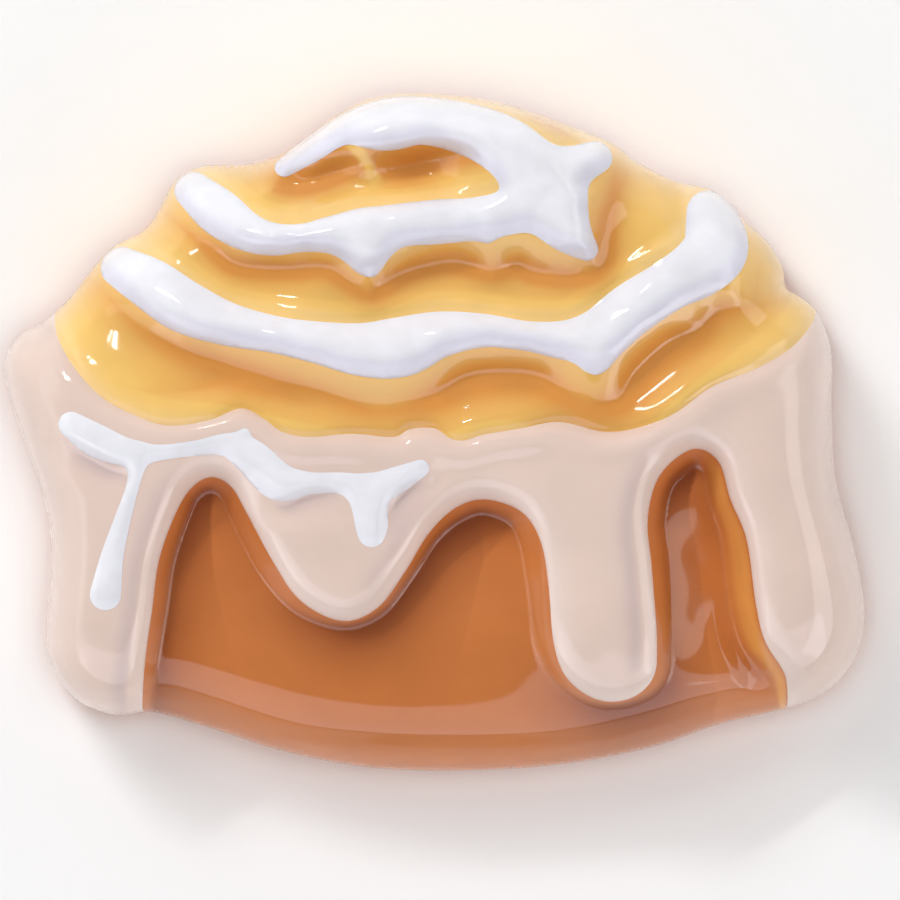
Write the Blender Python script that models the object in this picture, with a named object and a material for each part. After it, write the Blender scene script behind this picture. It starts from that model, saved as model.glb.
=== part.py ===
"""Cinnamon roll charm: a low relief of an iced roll in glossy moulded plastic, flat at the back.

Each colour of plastic is a piece of its own. The brown dough is the back plate and the wall of the
roll, the cream glaze hangs over that wall, the golden swirl is the top of the roll, and three white
ribbons of icing lie in shallow beds in the swirl and the glaze.
"""

import math

import bmesh
import bpy
import numpy as np
from mathutils import Vector
from mathutils.geometry import delaunay_2d_cdt
from mathutils.kdtree import KDTree

# Driving dimensions, in millimetres: X runs across the charm, Y up its face, Z out of the face
MM = 0.001
WIDTH = 32.0
DRAWN_WIDTH = 32.0
PLATE_THICKNESS = 0.8
EDGE_HEIGHT = 1.5
BACK_CHAMFER = 0.25
GAP = 0.1
BED_DEPTH = 0.5
ICING_BEAD = 0.2
ICING_ROUND = 0.6
ICING_EDGE_SHARE = 0.2
SEAM_GROOVE = 0.1
SEAM_GROOVE_WIDTH = 0.16

# The roll of the edge: its reach at the sides, the foot and the top, and where those zones begin
EDGE_ROLL = 2.1
FOOT_ROLL = 2.5
TOP_ROLL = 1.5
FOOT_ZONE = (8.5, 0.8)
FOOT_MIDDLE = 0.8
FOOT_ENDS = (-11.4, 0.4)
TOP_ZONE = (9.3, 0.6)

# The hem of the glaze: the round of its edge, and the fillet at the foot of its wall
HEM_ROUND = 0.95
HEM_BULGE = 2.4
HEM_FILLET = 0.22

# The low lip of the plastic beside a seam, and how far above a ribbon of icing it goes with it
LIP_HEIGHT = 0.16
LIP_AWAY = 0.55
LIP_WIDTH = 0.46
ABOVE = np.array([-0.15, 0.6])
ABOVE_FADE = 0.5

# Creases: the round of their bottom, and the steep and the drawn out reach of each
FOLD_ROUND = 0.3

# Mesh spacing, in millimetres
FACET = 0.5
EDGE_RINGS = (0.14, 0.48, 1.05)
HEM_INNER_RING = 0.32
CLEARANCE = 0.24
LATTICE_CLEARANCE = 0.28
OUTLINE_GRID = 0.14
LINE_STEP = 0.15
BATCH = 4000
TINY = 1e-9
SHARP_ANGLE = math.radians(42)

# Outlines, in millimetres from the middle of the face
SILHOUETTE = [
    (-0.6, 12.6), (-2.3, 12.4), (-3.6, 11.8), (-5.0, 10.8), (-5.9, 10.25), (-7.1, 9.95), (-8.6, 9.9),
    (-9.6, 9.4), (-10.1, 8.55), (-10.5, 7.85), (-11.0, 7.4), (-12.0, 6.85), (-12.9, 5.85), (-13.6, 4.95),
    (-14.5, 4.15), (-15.5, 3.55), (-16.0, 2.5), (-15.75, 1.1), (-15.1, -0.8), (-14.5, -2.6),
    (-14.25, -4.6), (-14.45, -7.4), (-14.25, -8.75), (-13.3, -10.0), (-11.9, -10.55), (-10.5, -10.45),
    (-8.6, -10.95), (-5.6, -11.9), (-2.4, -12.5), (1.0, -12.62), (4.6, -12.4), (8.0, -11.78),
    (10.6, -10.9), (13.4, -10.2), (14.9, -9.45), (15.85, -8.0), (16.0, -6.4), (15.6, -4.2),
    (14.95, -1.8), (14.8, 0.8), (14.8, 2.9), (14.3, 4.4), (13.55, 5.08), (13.1, 5.4), (12.95, 6.2),
    (12.3, 7.2), (11.6, 7.8), (11.1, 8.45), (10.2, 9.05), (8.95, 9.35), (7.55, 10.05), (6.7, 10.7),
    (4.9, 11.45), (2.2, 12.3),
]
RIM = [
    (-14.1, 4.5), (-13.9, 3.5), (-13.2, 2.3), (-12.2, 1.25), (-11.0, 0.6), (-9.8, 0.22), (-8.3, 0.4),
    (-7.1, 0.85), (-6.3, 0.5), (-5.6, 0.0), (-4.6, -0.2), (-3.0, -0.08), (-1.5, -0.2), (-0.9, 0.08),
    (0.0, 0.12), (0.6, -0.25), (1.1, -0.33), (1.8, -0.12), (3.2, 0.12), (4.6, 0.35), (6.2, 0.0),
    (7.4, 0.12), (8.8, 0.65), (10.2, 1.65), (11.8, 2.3), (13.1, 3.05), (13.9, 3.9), (14.2, 4.5),
]

# The hem of the glaze: x, y and the width of the wall below it
HEM = [
    (-10.85, -10.45, 0.5), (-10.65, -8.3, 0.6), (-10.4, -6.6, 0.65), (-10.15, -4.8, 0.65), (-9.6, -3.2, 0.6),
    (-9.0, -2.15, 0.5), (-8.25, -1.68, 0.6), (-7.5, -2.0, 0.6), (-6.9, -3.0, 0.7), (-5.9, -4.85, 0.75),
    (-4.9, -6.25, 0.55), (-3.4, -6.98, 0.35), (-2.1, -6.5, 0.4), (-1.1, -5.2, 0.45), (-0.2, -3.75, 0.5),
    (0.8, -2.8, 0.6), (1.9, -2.5, 0.6), (3.2, -2.95, 0.7), (3.9, -4.0, 0.85), (4.2, -5.6, 0.9),
    (4.4, -7.8, 0.8), (4.9, -9.1, 0.5), (6.0, -9.88, 0.35), (7.2, -9.85, 0.35), (8.05, -9.1, 0.6),
    (8.2, -7.8, 0.6), (8.0, -5.0, 0.65), (7.85, -3.2, 0.65), (8.3, -1.6, 0.65), (9.5, -0.65, 0.7),
    (10.45, -1.1, 0.7), (10.9, -2.5, 0.8), (11.5, -4.0, 0.95), (11.85, -6.4, 1.0), (12.2, -7.75, 0.9),
    (12.95, -9.0, 0.6), (13.12, -10.25, 0.4)]

# Icing ribbons: strands of stations, each with x, y, half width and the height of its crest
ICING_CURL = [
    [(-8.95, 8.95, 0.68, 6.6), (-7.9, 8.05, 0.86, 7.6), (-6.9, 7.35, 0.72, 8.2), (-5.9, 7.05, 0.6, 8.6),
     (-4.8, 7.1, 0.52, 8.8), (-3.8, 7.2, 0.68, 9.0), (-2.6, 7.2, 0.95, 9.1), (-1.2, 7.55, 0.8, 9.2),
     (0.2, 7.68, 0.82, 9.3), (1.6, 7.8, 0.78, 9.3), (3.0, 8.1, 0.85, 9.35), (4.2, 8.7, 1.2, 9.3)],
    [(-5.5, 9.75, 0.38, 8.0), (-4.6, 10.35, 0.52, 8.6), (-3.3, 11.1, 0.6, 9.0), (-1.8, 11.28, 1.0, 9.2),
     (-0.4, 11.42, 0.92, 9.3), (1.2, 11.1, 0.98, 9.4), (2.6, 10.45, 1.1, 9.5), (3.75, 9.4, 1.2, 9.4)],
    [(3.9, 9.0, 1.4, 9.4), (5.15, 9.7, 0.8, 8.8), (5.95, 10.1, 0.62, 8.2)],
    [(4.2, 8.6, 1.4, 9.3), (4.75, 7.6, 0.95, 9.15), (5.2, 7.05, 0.65, 9.0), (5.6, 6.68, 0.42, 8.7)],
    [(-2.5, 7.0, 1.05, 9.1), (-2.45, 6.45, 0.72, 8.9), (-2.35, 6.05, 0.4, 8.6)],
    [(1.9, 7.6, 0.6, 9.3), (1.95, 7.2, 0.28, 9.2)]]
ICING_ARC = [
    [(-11.6, 6.1, 0.75, 6.6), (-10.4, 5.4, 0.95, 7.3), (-9.2, 4.6, 0.98, 7.8), (-7.6, 3.95, 0.8, 8.1),
     (-5.8, 3.55, 0.68, 8.35), (-4.2, 3.25, 0.78, 8.5), (-2.6, 3.0, 0.98, 8.6), (-1.2, 3.1, 1.1, 8.65),
     (0.2, 3.55, 0.85, 8.7), (1.8, 3.7, 0.62, 8.7), (3.4, 3.5, 0.55, 8.7), (4.8, 3.35, 0.72, 8.65),
     (6.0, 3.5, 0.95, 8.6), (7.2, 4.45, 0.98, 8.5), (8.6, 5.35, 0.95, 8.2), (9.7, 6.0, 1.1, 7.8),
     (10.35, 6.7, 1.2, 7.4), (10.35, 7.5, 1.1, 7.1), (10.2, 8.05, 0.9, 6.8)],
    [(5.9, 3.3, 0.95, 8.6), (5.9, 2.85, 0.72, 8.5), (5.92, 2.5, 0.42, 8.3)]]
ICING_DRIZZLE = [
    [(-13.35, 0.25, 0.48), (-12.4, -0.35, 0.62), (-11.3, -0.75, 0.5), (-10.2, -0.78, 0.3),
     (-8.8, -0.62, 0.28), (-7.6, -0.5, 0.42), (-6.7, -0.95, 0.65), (-5.7, -1.85, 0.7), (-4.6, -1.9, 0.42),
     (-3.4, -1.9, 0.4), (-2.4, -2.15, 0.55), (-1.4, -1.8, 0.5), (-0.5, -1.35, 0.32)],
    [(-10.9, -0.9, 0.4), (-11.05, -1.9, 0.24), (-11.45, -3.2, 0.3), (-11.85, -4.6, 0.42),
     (-12.1, -6.0, 0.58)],
    [(-2.4, -2.3, 0.7), (-2.3, -3.4, 0.6), (-2.3, -3.75, 0.5)],
    [(-7.3, -0.5, 0.3), (-6.95, -0.05, 0.16)],
]
SHOULDER_REACH = 0.85
SHOULDER_DROP = 0.2
SHOULDER_FREE = 0.35
STRAND_FILLET = 0.12

# Lines of the relief between the ribbons, each point with x, y and height
EYE_HOLLOW = [(-7.0, 9.3, 7.2), (-5.8, 8.85, 8.0), (-4.6, 9.0, 8.5), (-3.7, 9.3, 8.75),
              (-1.8, 9.25, 8.85), (-0.6, 9.75, 8.95), (0.8, 9.75, 9.1), (1.9, 9.25, 9.2)]
EYE_FOLD = [(-2.7, 9.9, 8.9), (-2.65, 9.1, 8.75)]
EYE_STEP = [(-4.0, 8.45, 8.65), (-2.0, 8.75, 8.75), (0.2, 9.0, 8.8)]
MIDDLE_VALLEY = [(-9.9, 7.9, 6.3), (-9.0, 7.4, 6.9), (-8.0, 6.6, 7.7), (-6.8, 5.95, 8.1),
                 (-5.2, 5.75, 8.4), (-3.6, 5.7, 8.6), (-2.4, 5.1, 8.6), (-1.4, 5.5, 8.7),
                 (-0.2, 6.05, 8.75), (1.2, 6.1, 8.8), (2.25, 5.7, 8.8), (3.1, 6.0, 8.8),
                 (4.4, 5.6, 8.75), (5.7, 5.5, 8.6), (6.8, 6.3, 8.2), (7.0, 7.6, 7.9), (7.2, 8.7, 7.4),
                 (7.6, 9.5, 6.8)]
STAR_FACE = [(5.3, 8.6, 9.2), (5.0, 9.3, 9.15), (5.4, 7.8, 9.15)]
MIDDLE_RISE = [(-9.6, 6.6, 7.2), (-7.6, 5.3, 7.9), (-5.0, 4.7, 8.35), (-2.0, 4.6, 8.55), (1.0, 5.0, 8.65),
               (4.0, 4.6, 8.65), (6.6, 5.2, 8.5), (8.0, 6.6, 8.0), (8.4, 7.8, 7.4)]
OUTER_VALLEY = [(-12.6, 5.0, 6.2), (-11.3, 4.1, 6.9), (-9.7, 3.05, 7.5), (-8.0, 2.5, 7.8),
                (-6.0, 2.05, 8.0), (-4.0, 1.45, 8.1), (-2.0, 1.0, 8.1), (-0.4, 1.3, 8.2),
                (1.0, 1.8, 8.3), (2.5, 2.15, 8.35), (4.0, 1.8, 8.3), (5.4, 1.15, 8.2),
                (6.6, 1.25, 8.1), (7.6, 2.2, 8.1), (9.2, 3.4, 7.9), (10.8, 4.4, 7.4), (12.0, 4.9, 6.8),
                (12.9, 5.1, 6.2)]
SIDE_COIL = [(12.0, 6.6, 6.6), (11.5, 5.7, 7.2), (10.9, 5.1, 7.5)]
RIM_CREST = [(-14.0, 3.3, 6.2), (-13.4, 2.0, 6.7), (-12.4, 0.95, 7.1), (-11.0, 0.2, 7.5),
             (-9.6, -0.15, 7.7), (-8.2, 0.0, 7.8), (-7.0, 0.45, 7.9), (-5.4, -0.35, 7.9),
             (-2.8, -0.35, 8.0), (0.0, -0.2, 8.05), (3.0, -0.15, 8.1), (6.2, -0.3, 8.0),
             (8.8, 0.35, 7.9), (10.6, 1.45, 7.6), (12.4, 2.3, 7.1), (13.9, 3.5, 6.4)]
GLAZE_SIDES = [(-15.0, 2.2, 6.4), (-13.8, 0.2, 6.9), (-13.5, -2.6, 6.7), (-12.9, -6.6, 6.5),
               (-12.9, -8.8, 6.1), (-11.2, -0.9, 7.4), (-11.0, -3.0, 7.0), (-11.1, -6.0, 6.6),
               (-11.5, -9.0, 6.0), (13.6, 1.8, 7.0), (12.6, 0.2, 7.4), (12.9, -2.4, 7.2),
               (13.6, -5.6, 6.9), (13.9, -8.2, 6.2)]
GLAZE_DRIPS = [(-8.2, -0.8, 7.6), (-5.6, -2.4, 7.6), (-3.2, -1.4, 7.8), (-3.3, -4.0, 7.5),
               (-3.4, -6.0, 7.0), (1.6, -1.3, 7.9), (6.1, -1.4, 7.9), (6.2, -4.0, 7.7),
               (6.3, -7.0, 7.3), (6.5, -9.2, 6.6), (9.6, 0.1, 7.8)]
DOUGH_WALL = [(-10.4, -10.0, 4.3), (-9.6, -8.4, 4.9), (-9.0, -4.6, 5.3), (-8.2, -2.4, 5.5),
              (-6.0, -9.2, 5.2), (-4.0, -8.2, 5.5), (0.0, -9.4, 5.4), (0.2, -5.6, 5.9),
              (1.6, -3.2, 5.9), (4.2, -10.0, 5.2), (8.35, -4.0, 6.3), (8.7, -7.0, 6.15),
              (9.0, -9.3, 5.5), (9.6, -4.6, 5.5), (9.8, -7.2, 5.35), (9.5, -1.8, 5.7),
              (11.5, -8.6, 4.9), (12.8, -9.9, 4.3)]

# Creases, each point with x, y and depth
CURL_FOOT = [(-10.1, 8.2, 0.1), (-8.9, 7.2, 0.35), (-7.9, 6.4, 0.6), (-7.1, 6.0, 0.7),
             (-5.2, 5.9, 0.7), (-4.0, 5.95, 0.65), (-3.2, 5.4, 0.55), (-2.4, 4.97, 0.5),
             (-1.9, 5.2, 0.65), (-1.0, 5.8, 0.8), (0.45, 6.2, 0.85), (1.35, 6.05, 0.75),
             (2.2, 5.75, 0.55), (3.0, 6.1, 0.75), (3.6, 5.8, 0.75), (4.9, 5.6, 0.65), (5.9, 5.7, 0.5),
             (6.4, 6.4, 0.45), (6.45, 7.2, 0.35), (6.6, 8.3, 0.2), (7.1, 9.5, 0.1)]
ARC_FOOT = [(-13.0, 6.0, 0.1), (-12.25, 5.2, 0.2), (-10.9, 3.85, 0.35), (-9.5, 3.05, 0.45),
            (-8.5, 2.65, 0.5), (-7.5, 2.35, 0.5), (-5.75, 1.85, 0.45), (-4.25, 1.45, 0.4),
            (-2.75, 0.9, 0.4), (-1.85, 0.75, 0.35), (-0.7, 0.95, 0.45), (0.2, 1.35, 0.6),
            (1.2, 1.95, 0.7), (2.45, 2.1, 0.7), (3.85, 1.95, 0.65), (4.8, 1.25, 0.5), (5.9, 0.85, 0.5),
            (6.9, 1.15, 0.65), (7.4, 2.1, 0.75), (8.6, 3.2, 0.75), (9.65, 3.65, 0.65),
            (10.45, 4.35, 0.5), (11.5, 4.55, 0.3), (13.2, 4.95, 0.1), (14.0, 5.3, 0.0)]
EYE_FOOT = [(-6.4, 8.75, 0.0), (-5.6, 8.9, 0.5), (-4.9, 9.05, 0.95), (-4.3, 9.2, 1.15),
            (-3.6, 9.45, 1.1), (-3.0, 9.7, 0.75), (-2.4, 9.7, 0.35), (-1.9, 9.45, 0.75),
            (-1.2, 9.55, 1.2), (-0.5, 9.85, 1.25), (0.2, 10.0, 1.0), (1.0, 10.0, 0.6),
            (1.8, 9.75, 0.25), (2.3, 9.35, 0.0)]
BOWL_FOLD = [(-12.4, 1.9, 0.0), (-10.5, 1.5, 0.08), (-9.0, 1.55, 0.12), (-7.7, 1.75, 0.12),
             (-6.2, 1.5, 0.12), (-4.9, 1.15, 0.06), (-4.0, 0.8, 0.0)]
DRIZZLE_FOOT = [(-13.7, -0.4, 0.0), (-12.9, -0.95, 0.3), (-12.0, -1.45, 0.35), (-11.4, -1.7, 0.2),
                (-11.3, -2.4, 0.0)]
DRIP_FOLD = [(-6.6, -1.7, 0.05), (-6.0, -2.5, 0.2), (-5.5, -2.8, 0.3), (-4.7, -2.5, 0.3),
             (-3.8, -2.4, 0.2), (-3.2, -2.7, 0.0)]
DRIZZLE_SIDE = [(-1.7, -4.2, 0.0), (-1.5, -3.2, 0.2), (-1.2, -2.5, 0.3), (-0.5, -1.9, 0.2),
                (0.0, -1.6, 0.0)]
CORNER_FOLD = [(10.9, -6.4, 0.0), (11.3, -7.9, 0.2), (11.8, -8.9, 0.25), (12.3, -9.7, 0.1),
               (12.5, -10.1, 0.0)]
FACE_FOLDS = [(CURL_FOOT, 1.0, 2.6), (ARC_FOOT, 1.0, 1.9), (EYE_FOOT, 0.85, 1.7), (BOWL_FOLD, 0.6, 0.9),
              (DRIZZLE_FOOT, 0.5, 1.1), (DRIP_FOLD, 0.5, 1.0), (DRIZZLE_SIDE, 0.5, 0.8)]
WALL_FOLDS = [(CORNER_FOLD, 0.5, 0.6)]

# Plastics: base colour, roughness
DOUGH_BROWN = ((0.48, 0.15, 0.045), 0.16)
GLAZE_CREAM = ((0.80, 0.67, 0.60), 0.16)
SWIRL_GOLD = ((0.86, 0.54, 0.13), 0.14)
ICING_WHITE = ((0.86, 0.86, 0.90), 0.14)


def flow(points, spacing, closed=False, count=12):
    """A smooth curve through the points, cut into even steps."""
    p = np.array(points, float)
    p = np.vstack([p[-1:], p, p[:2]]) if closed else np.vstack([2 * p[0] - p[1], p, 2 * p[-1] - p[-2]])
    a, b, c, d = p[:-3, None], p[1:-2, None], p[2:-1, None], p[3:, None]
    t = np.linspace(0, 1, count, endpoint=False)[None, :, None]
    run = b + 0.5 * t * (c - a + t * (2 * a - 5 * b + 4 * c - d + t * (3 * (b - c) + d - a)))
    run = np.vstack([run.reshape(-1, p.shape[1]), p[-2:-1]])
    length = np.concatenate([[0], np.cumsum(np.linalg.norm(np.diff(run[:, :2], axis=0), axis=1))])
    steps = max(2, round(length[-1] / spacing))
    at = np.linspace(0, length[-1], steps + 1)
    even = np.stack([np.interp(at, length, run[:, k]) for k in range(run.shape[1])], -1)
    return even[:-1] if closed else even


def in_batches(measure):
    """Runs a measure of points over one batch of them at a time."""

    def run(p, *rest):
        cuts = range(0, len(p), BATCH)
        return np.concatenate([measure(p[i:i + BATCH], *rest) for i in cuts]) if len(p) else np.empty(0)

    return run


@in_batches
def distance(p, line):
    """Distance from each point to a line of straight steps."""
    a = line[:-1]
    along = line[1:] - a
    x, y = p[:, None, 0] - a[:, 0], p[:, None, 1] - a[:, 1]
    share = np.clip((x * along[:, 0] + y * along[:, 1]) / (along**2).sum(1), 0, 1)
    x -= share * along[:, 0]
    y -= share * along[:, 1]
    return np.sqrt((x * x + y * y).min(1))


@in_batches
def soft_distance(p, line):
    """Distance to a closed line that keeps no crease where two stretches of it are equally near."""
    a = line[:-1]
    along = line[1:] - a
    length = np.linalg.norm(along, axis=1)
    along /= length[:, None]
    x, y = p[:, None, 0] - a[:, 0], p[:, None, 1] - a[:, 1]
    start = -(x * along[:, 0] + y * along[:, 1])
    off2 = (x * along[:, 1] - y * along[:, 0]) ** 2 + TINY
    end = start + length
    pull = (end / np.sqrt(off2 + end**2) - start / np.sqrt(off2 + start**2)) / off2
    return 1 / np.sqrt(pull.sum(1) / 2)


@in_batches
def inside(p, loop):
    """Whether each point lies inside a closed loop."""
    within = ((p > loop.min(0)) & (p < loop.max(0))).all(1)
    a, b = loop, np.roll(loop, -1, axis=0)
    x, y = p[within, 0, None], p[within, 1, None]
    crosses = (a[:, 1] > y) != (b[:, 1] > y)
    rise = np.where(b[:, 1] == a[:, 1], 1.0, b[:, 1] - a[:, 1])
    at = a[:, 0] + (y - a[:, 1]) / rise * (b[:, 0] - a[:, 0])
    within[within] = (crosses & (x < at)).sum(1) % 2 == 1
    return within


@in_batches
def strand_depth(p, strands):
    """How far inside a ribbon of joined strands each point lies, below zero outside it."""
    depth = []
    for strand in strands:
        run = flow([station[:3] for station in strand], LINE_STEP)
        a, along = run[:-1], run[1:] - run[:-1]
        x, y = p[:, None, 0] - a[:, 0], p[:, None, 1] - a[:, 1]
        share = (x * along[:, 0] + y * along[:, 1]) / (along[:, :2] ** 2).sum(1)
        share = np.clip(share, 0, 1)
        away = np.hypot(x - share * along[:, 0], y - share * along[:, 1])
        depth.append((a[:, 2] + share * along[:, 2] - away).max(1))
    return STRAND_FILLET * np.logaddexp.reduce(np.array(depth) / STRAND_FILLET, axis=0)


@in_batches
def beside(p, stations):
    """Distance from each point to a line, whether it lies left of it, and the line's third value there."""
    run = flow(stations, LINE_STEP)
    a, along = run[:-1], run[1:] - run[:-1]
    x, y = p[:, None, 0] - a[:, 0], p[:, None, 1] - a[:, 1]
    share = np.clip((x * along[:, 0] + y * along[:, 1]) / (along[:, :2] ** 2).sum(1), 0, 1)
    away = np.hypot(x - share * along[:, 0], y - share * along[:, 1])
    k, row = away.argmin(1), np.arange(len(p))
    left = along[k, 0] * y[row, k] > along[k, 1] * x[row, k]
    return np.stack([away[row, k], left, a[k, 2] + share[row, k] * along[k, 2]], -1)


@in_batches
def softly_beside(p, stations):
    """Distance to an open line and its third value, both without a crease between its stretches."""
    run = flow(stations, LINE_STEP)
    a, along = run[:-1, :2], run[1:, :2] - run[:-1, :2]
    length = np.linalg.norm(along, axis=1)
    along /= length[:, None]
    x, y = p[:, None, 0] - a[:, 0], p[:, None, 1] - a[:, 1]
    start = -(x * along[:, 0] + y * along[:, 1])
    off2 = (x * along[:, 1] - y * along[:, 0]) ** 2 + TINY
    end = start + length
    pull = (end / np.sqrt(off2 + end**2) - start / np.sqrt(off2 + start**2)) / off2
    whole = pull.sum(1)
    return np.stack([1 / np.sqrt(whole / 2), pull @ ((run[:-1, 2] + run[1:, 2]) / 2) / whole], -1)


def coil_depth(p):
    """How far inside one of the two ribbons on the coils each point lies."""
    return np.maximum(strand_depth(p, ICING_CURL), strand_depth(p, ICING_ARC))


def above_ribbon(p):
    """Whether a point is just above a ribbon on the coils, from 0 to 1."""
    return np.clip(0.5 + coil_depth(p - ABOVE) / ABOVE_FADE, 0, 1)


def fold(p, stations, near, far):
    """Depth of a crease along a line: steep on the left of its way, and drawn out on the right."""
    left = beside(p, stations)[:, 1]
    away, deep = softly_beside(p, stations).T
    away = np.hypot(away, FOLD_ROUND) - FOLD_ROUND
    steep = np.clip(1 - away / near, 0, 1) ** 2
    t = np.clip(away / far, 0, 1)
    return deep * np.where(left, steep, 1 - t * t * (3 - 2 * t))


class Relief:
    """A smooth surface of least bending through points of given height."""

    def __init__(self, points, ease=0.004):
        p = np.array(points, float)
        self.at, n = p[:, :2], len(p)
        bend = self.bend(self.at) + ease * np.eye(n)
        plane = np.hstack([np.ones((n, 1)), self.at])
        system = np.block([[bend, plane], [plane.T, np.zeros((3, 3))]])
        self.weights = np.linalg.solve(system, np.concatenate([p[:, 2], np.zeros(3)]))

    def bend(self, p):
        """How much each point is lifted by each given point, as in a bent plate."""
        r2 = (p[:, None, 0] - self.at[:, 0]) ** 2 + (p[:, None, 1] - self.at[:, 1]) ** 2 + TINY
        return 0.5 * r2 * np.log(r2)

    def height(self, p):
        """Height of the surface at each point."""
        return self.bend(p) @ self.weights[:-3] + self.weights[-3] + p @ self.weights[-2:]

    def __call__(self, p):
        return in_batches(self.height)(p)


def crest_points(strands):
    """Heights along a ribbon: its crest, and a shoulder just below it on each side."""
    points = []
    for strand in strands:
        s = np.array(strand, float)
        ahead = np.gradient(s[:, :2], axis=0)
        ahead /= np.linalg.norm(ahead, axis=1)[:, None]
        across = np.stack([-ahead[:, 1], ahead[:, 0]], -1)
        points += [tuple(row) for row in s[:, [0, 1, 3]]]
        for side in (-1, 1):
            at = s[:, :2] + side * SHOULDER_REACH * s[:, 2:3] * across
            free = strand_depth(at, strands) < SHOULDER_FREE * s[:, 2]
            points += [(x, y, z - SHOULDER_DROP) for (x, y), z, ok in zip(at, s[:, 3], free) if ok]
    return points


def thinned(points, apart=0.3):
    """The points without those that lie almost on an earlier one."""
    kept = []
    for point in points:
        if all(math.dist(point[:2], other[:2]) > apart for other in kept):
            kept.append(point)
    return kept


def ribbon_outline(strands, spacing):
    """The closed outline of a ribbon: a grid raised by its depth is cut at the level of zero."""
    stations = np.array([station[:3] for strand in strands for station in strand])
    widest = 2 * stations[:, 2].max()
    low, high = stations[:, :2].min(0) - widest, stations[:, :2].max(0) + widest
    xs, ys = (np.arange(low[k], high[k], OUTLINE_GRID) for k in (0, 1))
    grid = np.stack(np.meshgrid(xs, ys, indexing="ij"), -1).reshape(-1, 2)
    bm = bmesh.new()
    verts = [bm.verts.new((x, y, z)) for (x, y), z in zip(grid, strand_depth(grid, strands))]
    n = len(ys)
    for i in range(len(xs) - 1):
        for j in range(n - 1):
            k = i * n + j
            bm.faces.new((verts[k], verts[k + n], verts[k + n + 1], verts[k + 1]))
    geometry = bm.verts[:] + bm.edges[:] + bm.faces[:]
    level = {"plane_co": (0, 0, 0), "plane_no": (0, 0, 1)}
    bmesh.ops.bisect_plane(bm, geom=geometry, **level, clear_inner=True, clear_outer=True)
    walk = [next(v for v in bm.verts if len(v.link_edges) == 2)]
    edge = walk[0].link_edges[0]
    while edge.other_vert(walk[-1]) is not walk[0]:
        walk.append(edge.other_vert(walk[-1]))
        edge = next(e for e in walk[-1].link_edges if e is not edge)
    loop = np.array([v.co[:2] for v in walk])
    bm.free()
    return flow(loop, spacing, closed=True, count=2)


outline = flow(SILHOUETTE, FACET * 0.9, closed=True)
outline_line = np.vstack([outline, outline[:1]])
SCALE = WIDTH / DRAWN_WIDTH * MM
CENTRE = (outline.min(0) + outline.max(0)) / 2


def seam(points):
    """A seam across the face, ending on two points of the outline."""
    line = flow(points, FACET * 0.85)
    for end in (0, -1):
        line[end] = outline[np.linalg.norm(outline - line[end], axis=1).argmin()]
    return line


rim, hem = seam(RIM), seam([station[:2] for station in HEM])
above_rim = np.vstack([rim, (rim[-1][0], 2 * WIDTH), (rim[0][0], 2 * WIDTH)])
below_hem = np.vstack([hem, (hem[-1][0], -2 * WIDTH), (hem[0][0], -2 * WIDTH)])
ribbons = {"curl": ICING_CURL, "arc": ICING_ARC, "drizzle": ICING_DRIZZLE}
ribbon_loops = {name: ribbon_outline(strands, FACET * 0.8) for name, strands in ribbons.items()}
face_relief = Relief(thinned(
    crest_points(ICING_CURL) + crest_points(ICING_ARC) + STAR_FACE + EYE_HOLLOW + EYE_FOLD + EYE_STEP
    + MIDDLE_VALLEY + MIDDLE_RISE + OUTER_VALLEY + SIDE_COIL + RIM_CREST + GLAZE_SIDES + GLAZE_DRIPS))
wall_relief = Relief(DOUGH_WALL)


def fade(x, middle, width):
    """A soft step from 0 to 1 as x passes the middle."""
    return 1 / (1 + np.exp((middle - x) / width))


def rolled_edge(p):
    """How far the face has risen from its edge, from 0 at the edge to 1."""
    at_foot = fade(-p[:, 1], *FOOT_ZONE) * fade(-np.abs(p[:, 0] - FOOT_MIDDLE), *FOOT_ENDS)
    at_top = fade(p[:, 1], *TOP_ZONE)
    reach = EDGE_ROLL + (FOOT_ROLL - EDGE_ROLL) * at_foot + (TOP_ROLL - EDGE_ROLL) * at_top
    return np.sqrt(np.tanh(2 * soft_distance(p, outline_line) / reach))


def lip(away):
    """The low rounded lip of the plastic beside a seam."""
    return LIP_HEIGHT * np.exp(-(((away - LIP_AWAY) / LIP_WIDTH) ** 2))


def base_height(p):
    """Height of the face without the beads of icing."""
    to_hem, _, hem_wall = beside(p, HEM).T
    to_hem = np.where(inside(p, below_hem), -to_hem, to_hem)
    share = np.clip((to_hem + hem_wall) / (hem_wall + HEM_ROUND), 0, 1)
    share = share**2 / (share + HEM_FILLET) * (1 + HEM_FILLET)
    cover = 1 - (1 - share) ** HEM_BULGE
    face = face_relief(p) - sum(fold(p, *crease) for crease in FACE_FOLDS)
    wall = wall_relief(p) - sum(fold(p, *crease) for crease in WALL_FOLDS)
    height = wall * (1 - cover) + face * cover
    to_rim = distance(p, rim)
    height += lip(to_rim) - SEAM_GROOVE * np.exp(-((to_rim / SEAM_GROOVE_WIDTH) ** 2))
    height += lip(-coil_depth(p)) * above_ribbon(p)
    return EDGE_HEIGHT + (height - EDGE_HEIGHT) * rolled_edge(p)


def bed_height(p):
    """Height of the beds that the icing lies in."""
    return base_height(p) - BED_DEPTH


def icing_underside(p):
    """Height of the underside of the icing, a gap above its bed."""
    return bed_height(p) + GAP * 1.5


def icing_height(p):
    """Height of the icing: a low bead with a round edge on the face."""
    depth = np.max([strand_depth(p, strands) for strands in ribbons.values()], axis=0)
    share = np.clip(depth / ICING_ROUND, 0, 1)
    bead = ICING_EDGE_SHARE + (1 - ICING_EDGE_SHARE) * (1 - (1 - share) ** 2)
    return base_height(p) + ICING_BEAD * bead


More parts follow.
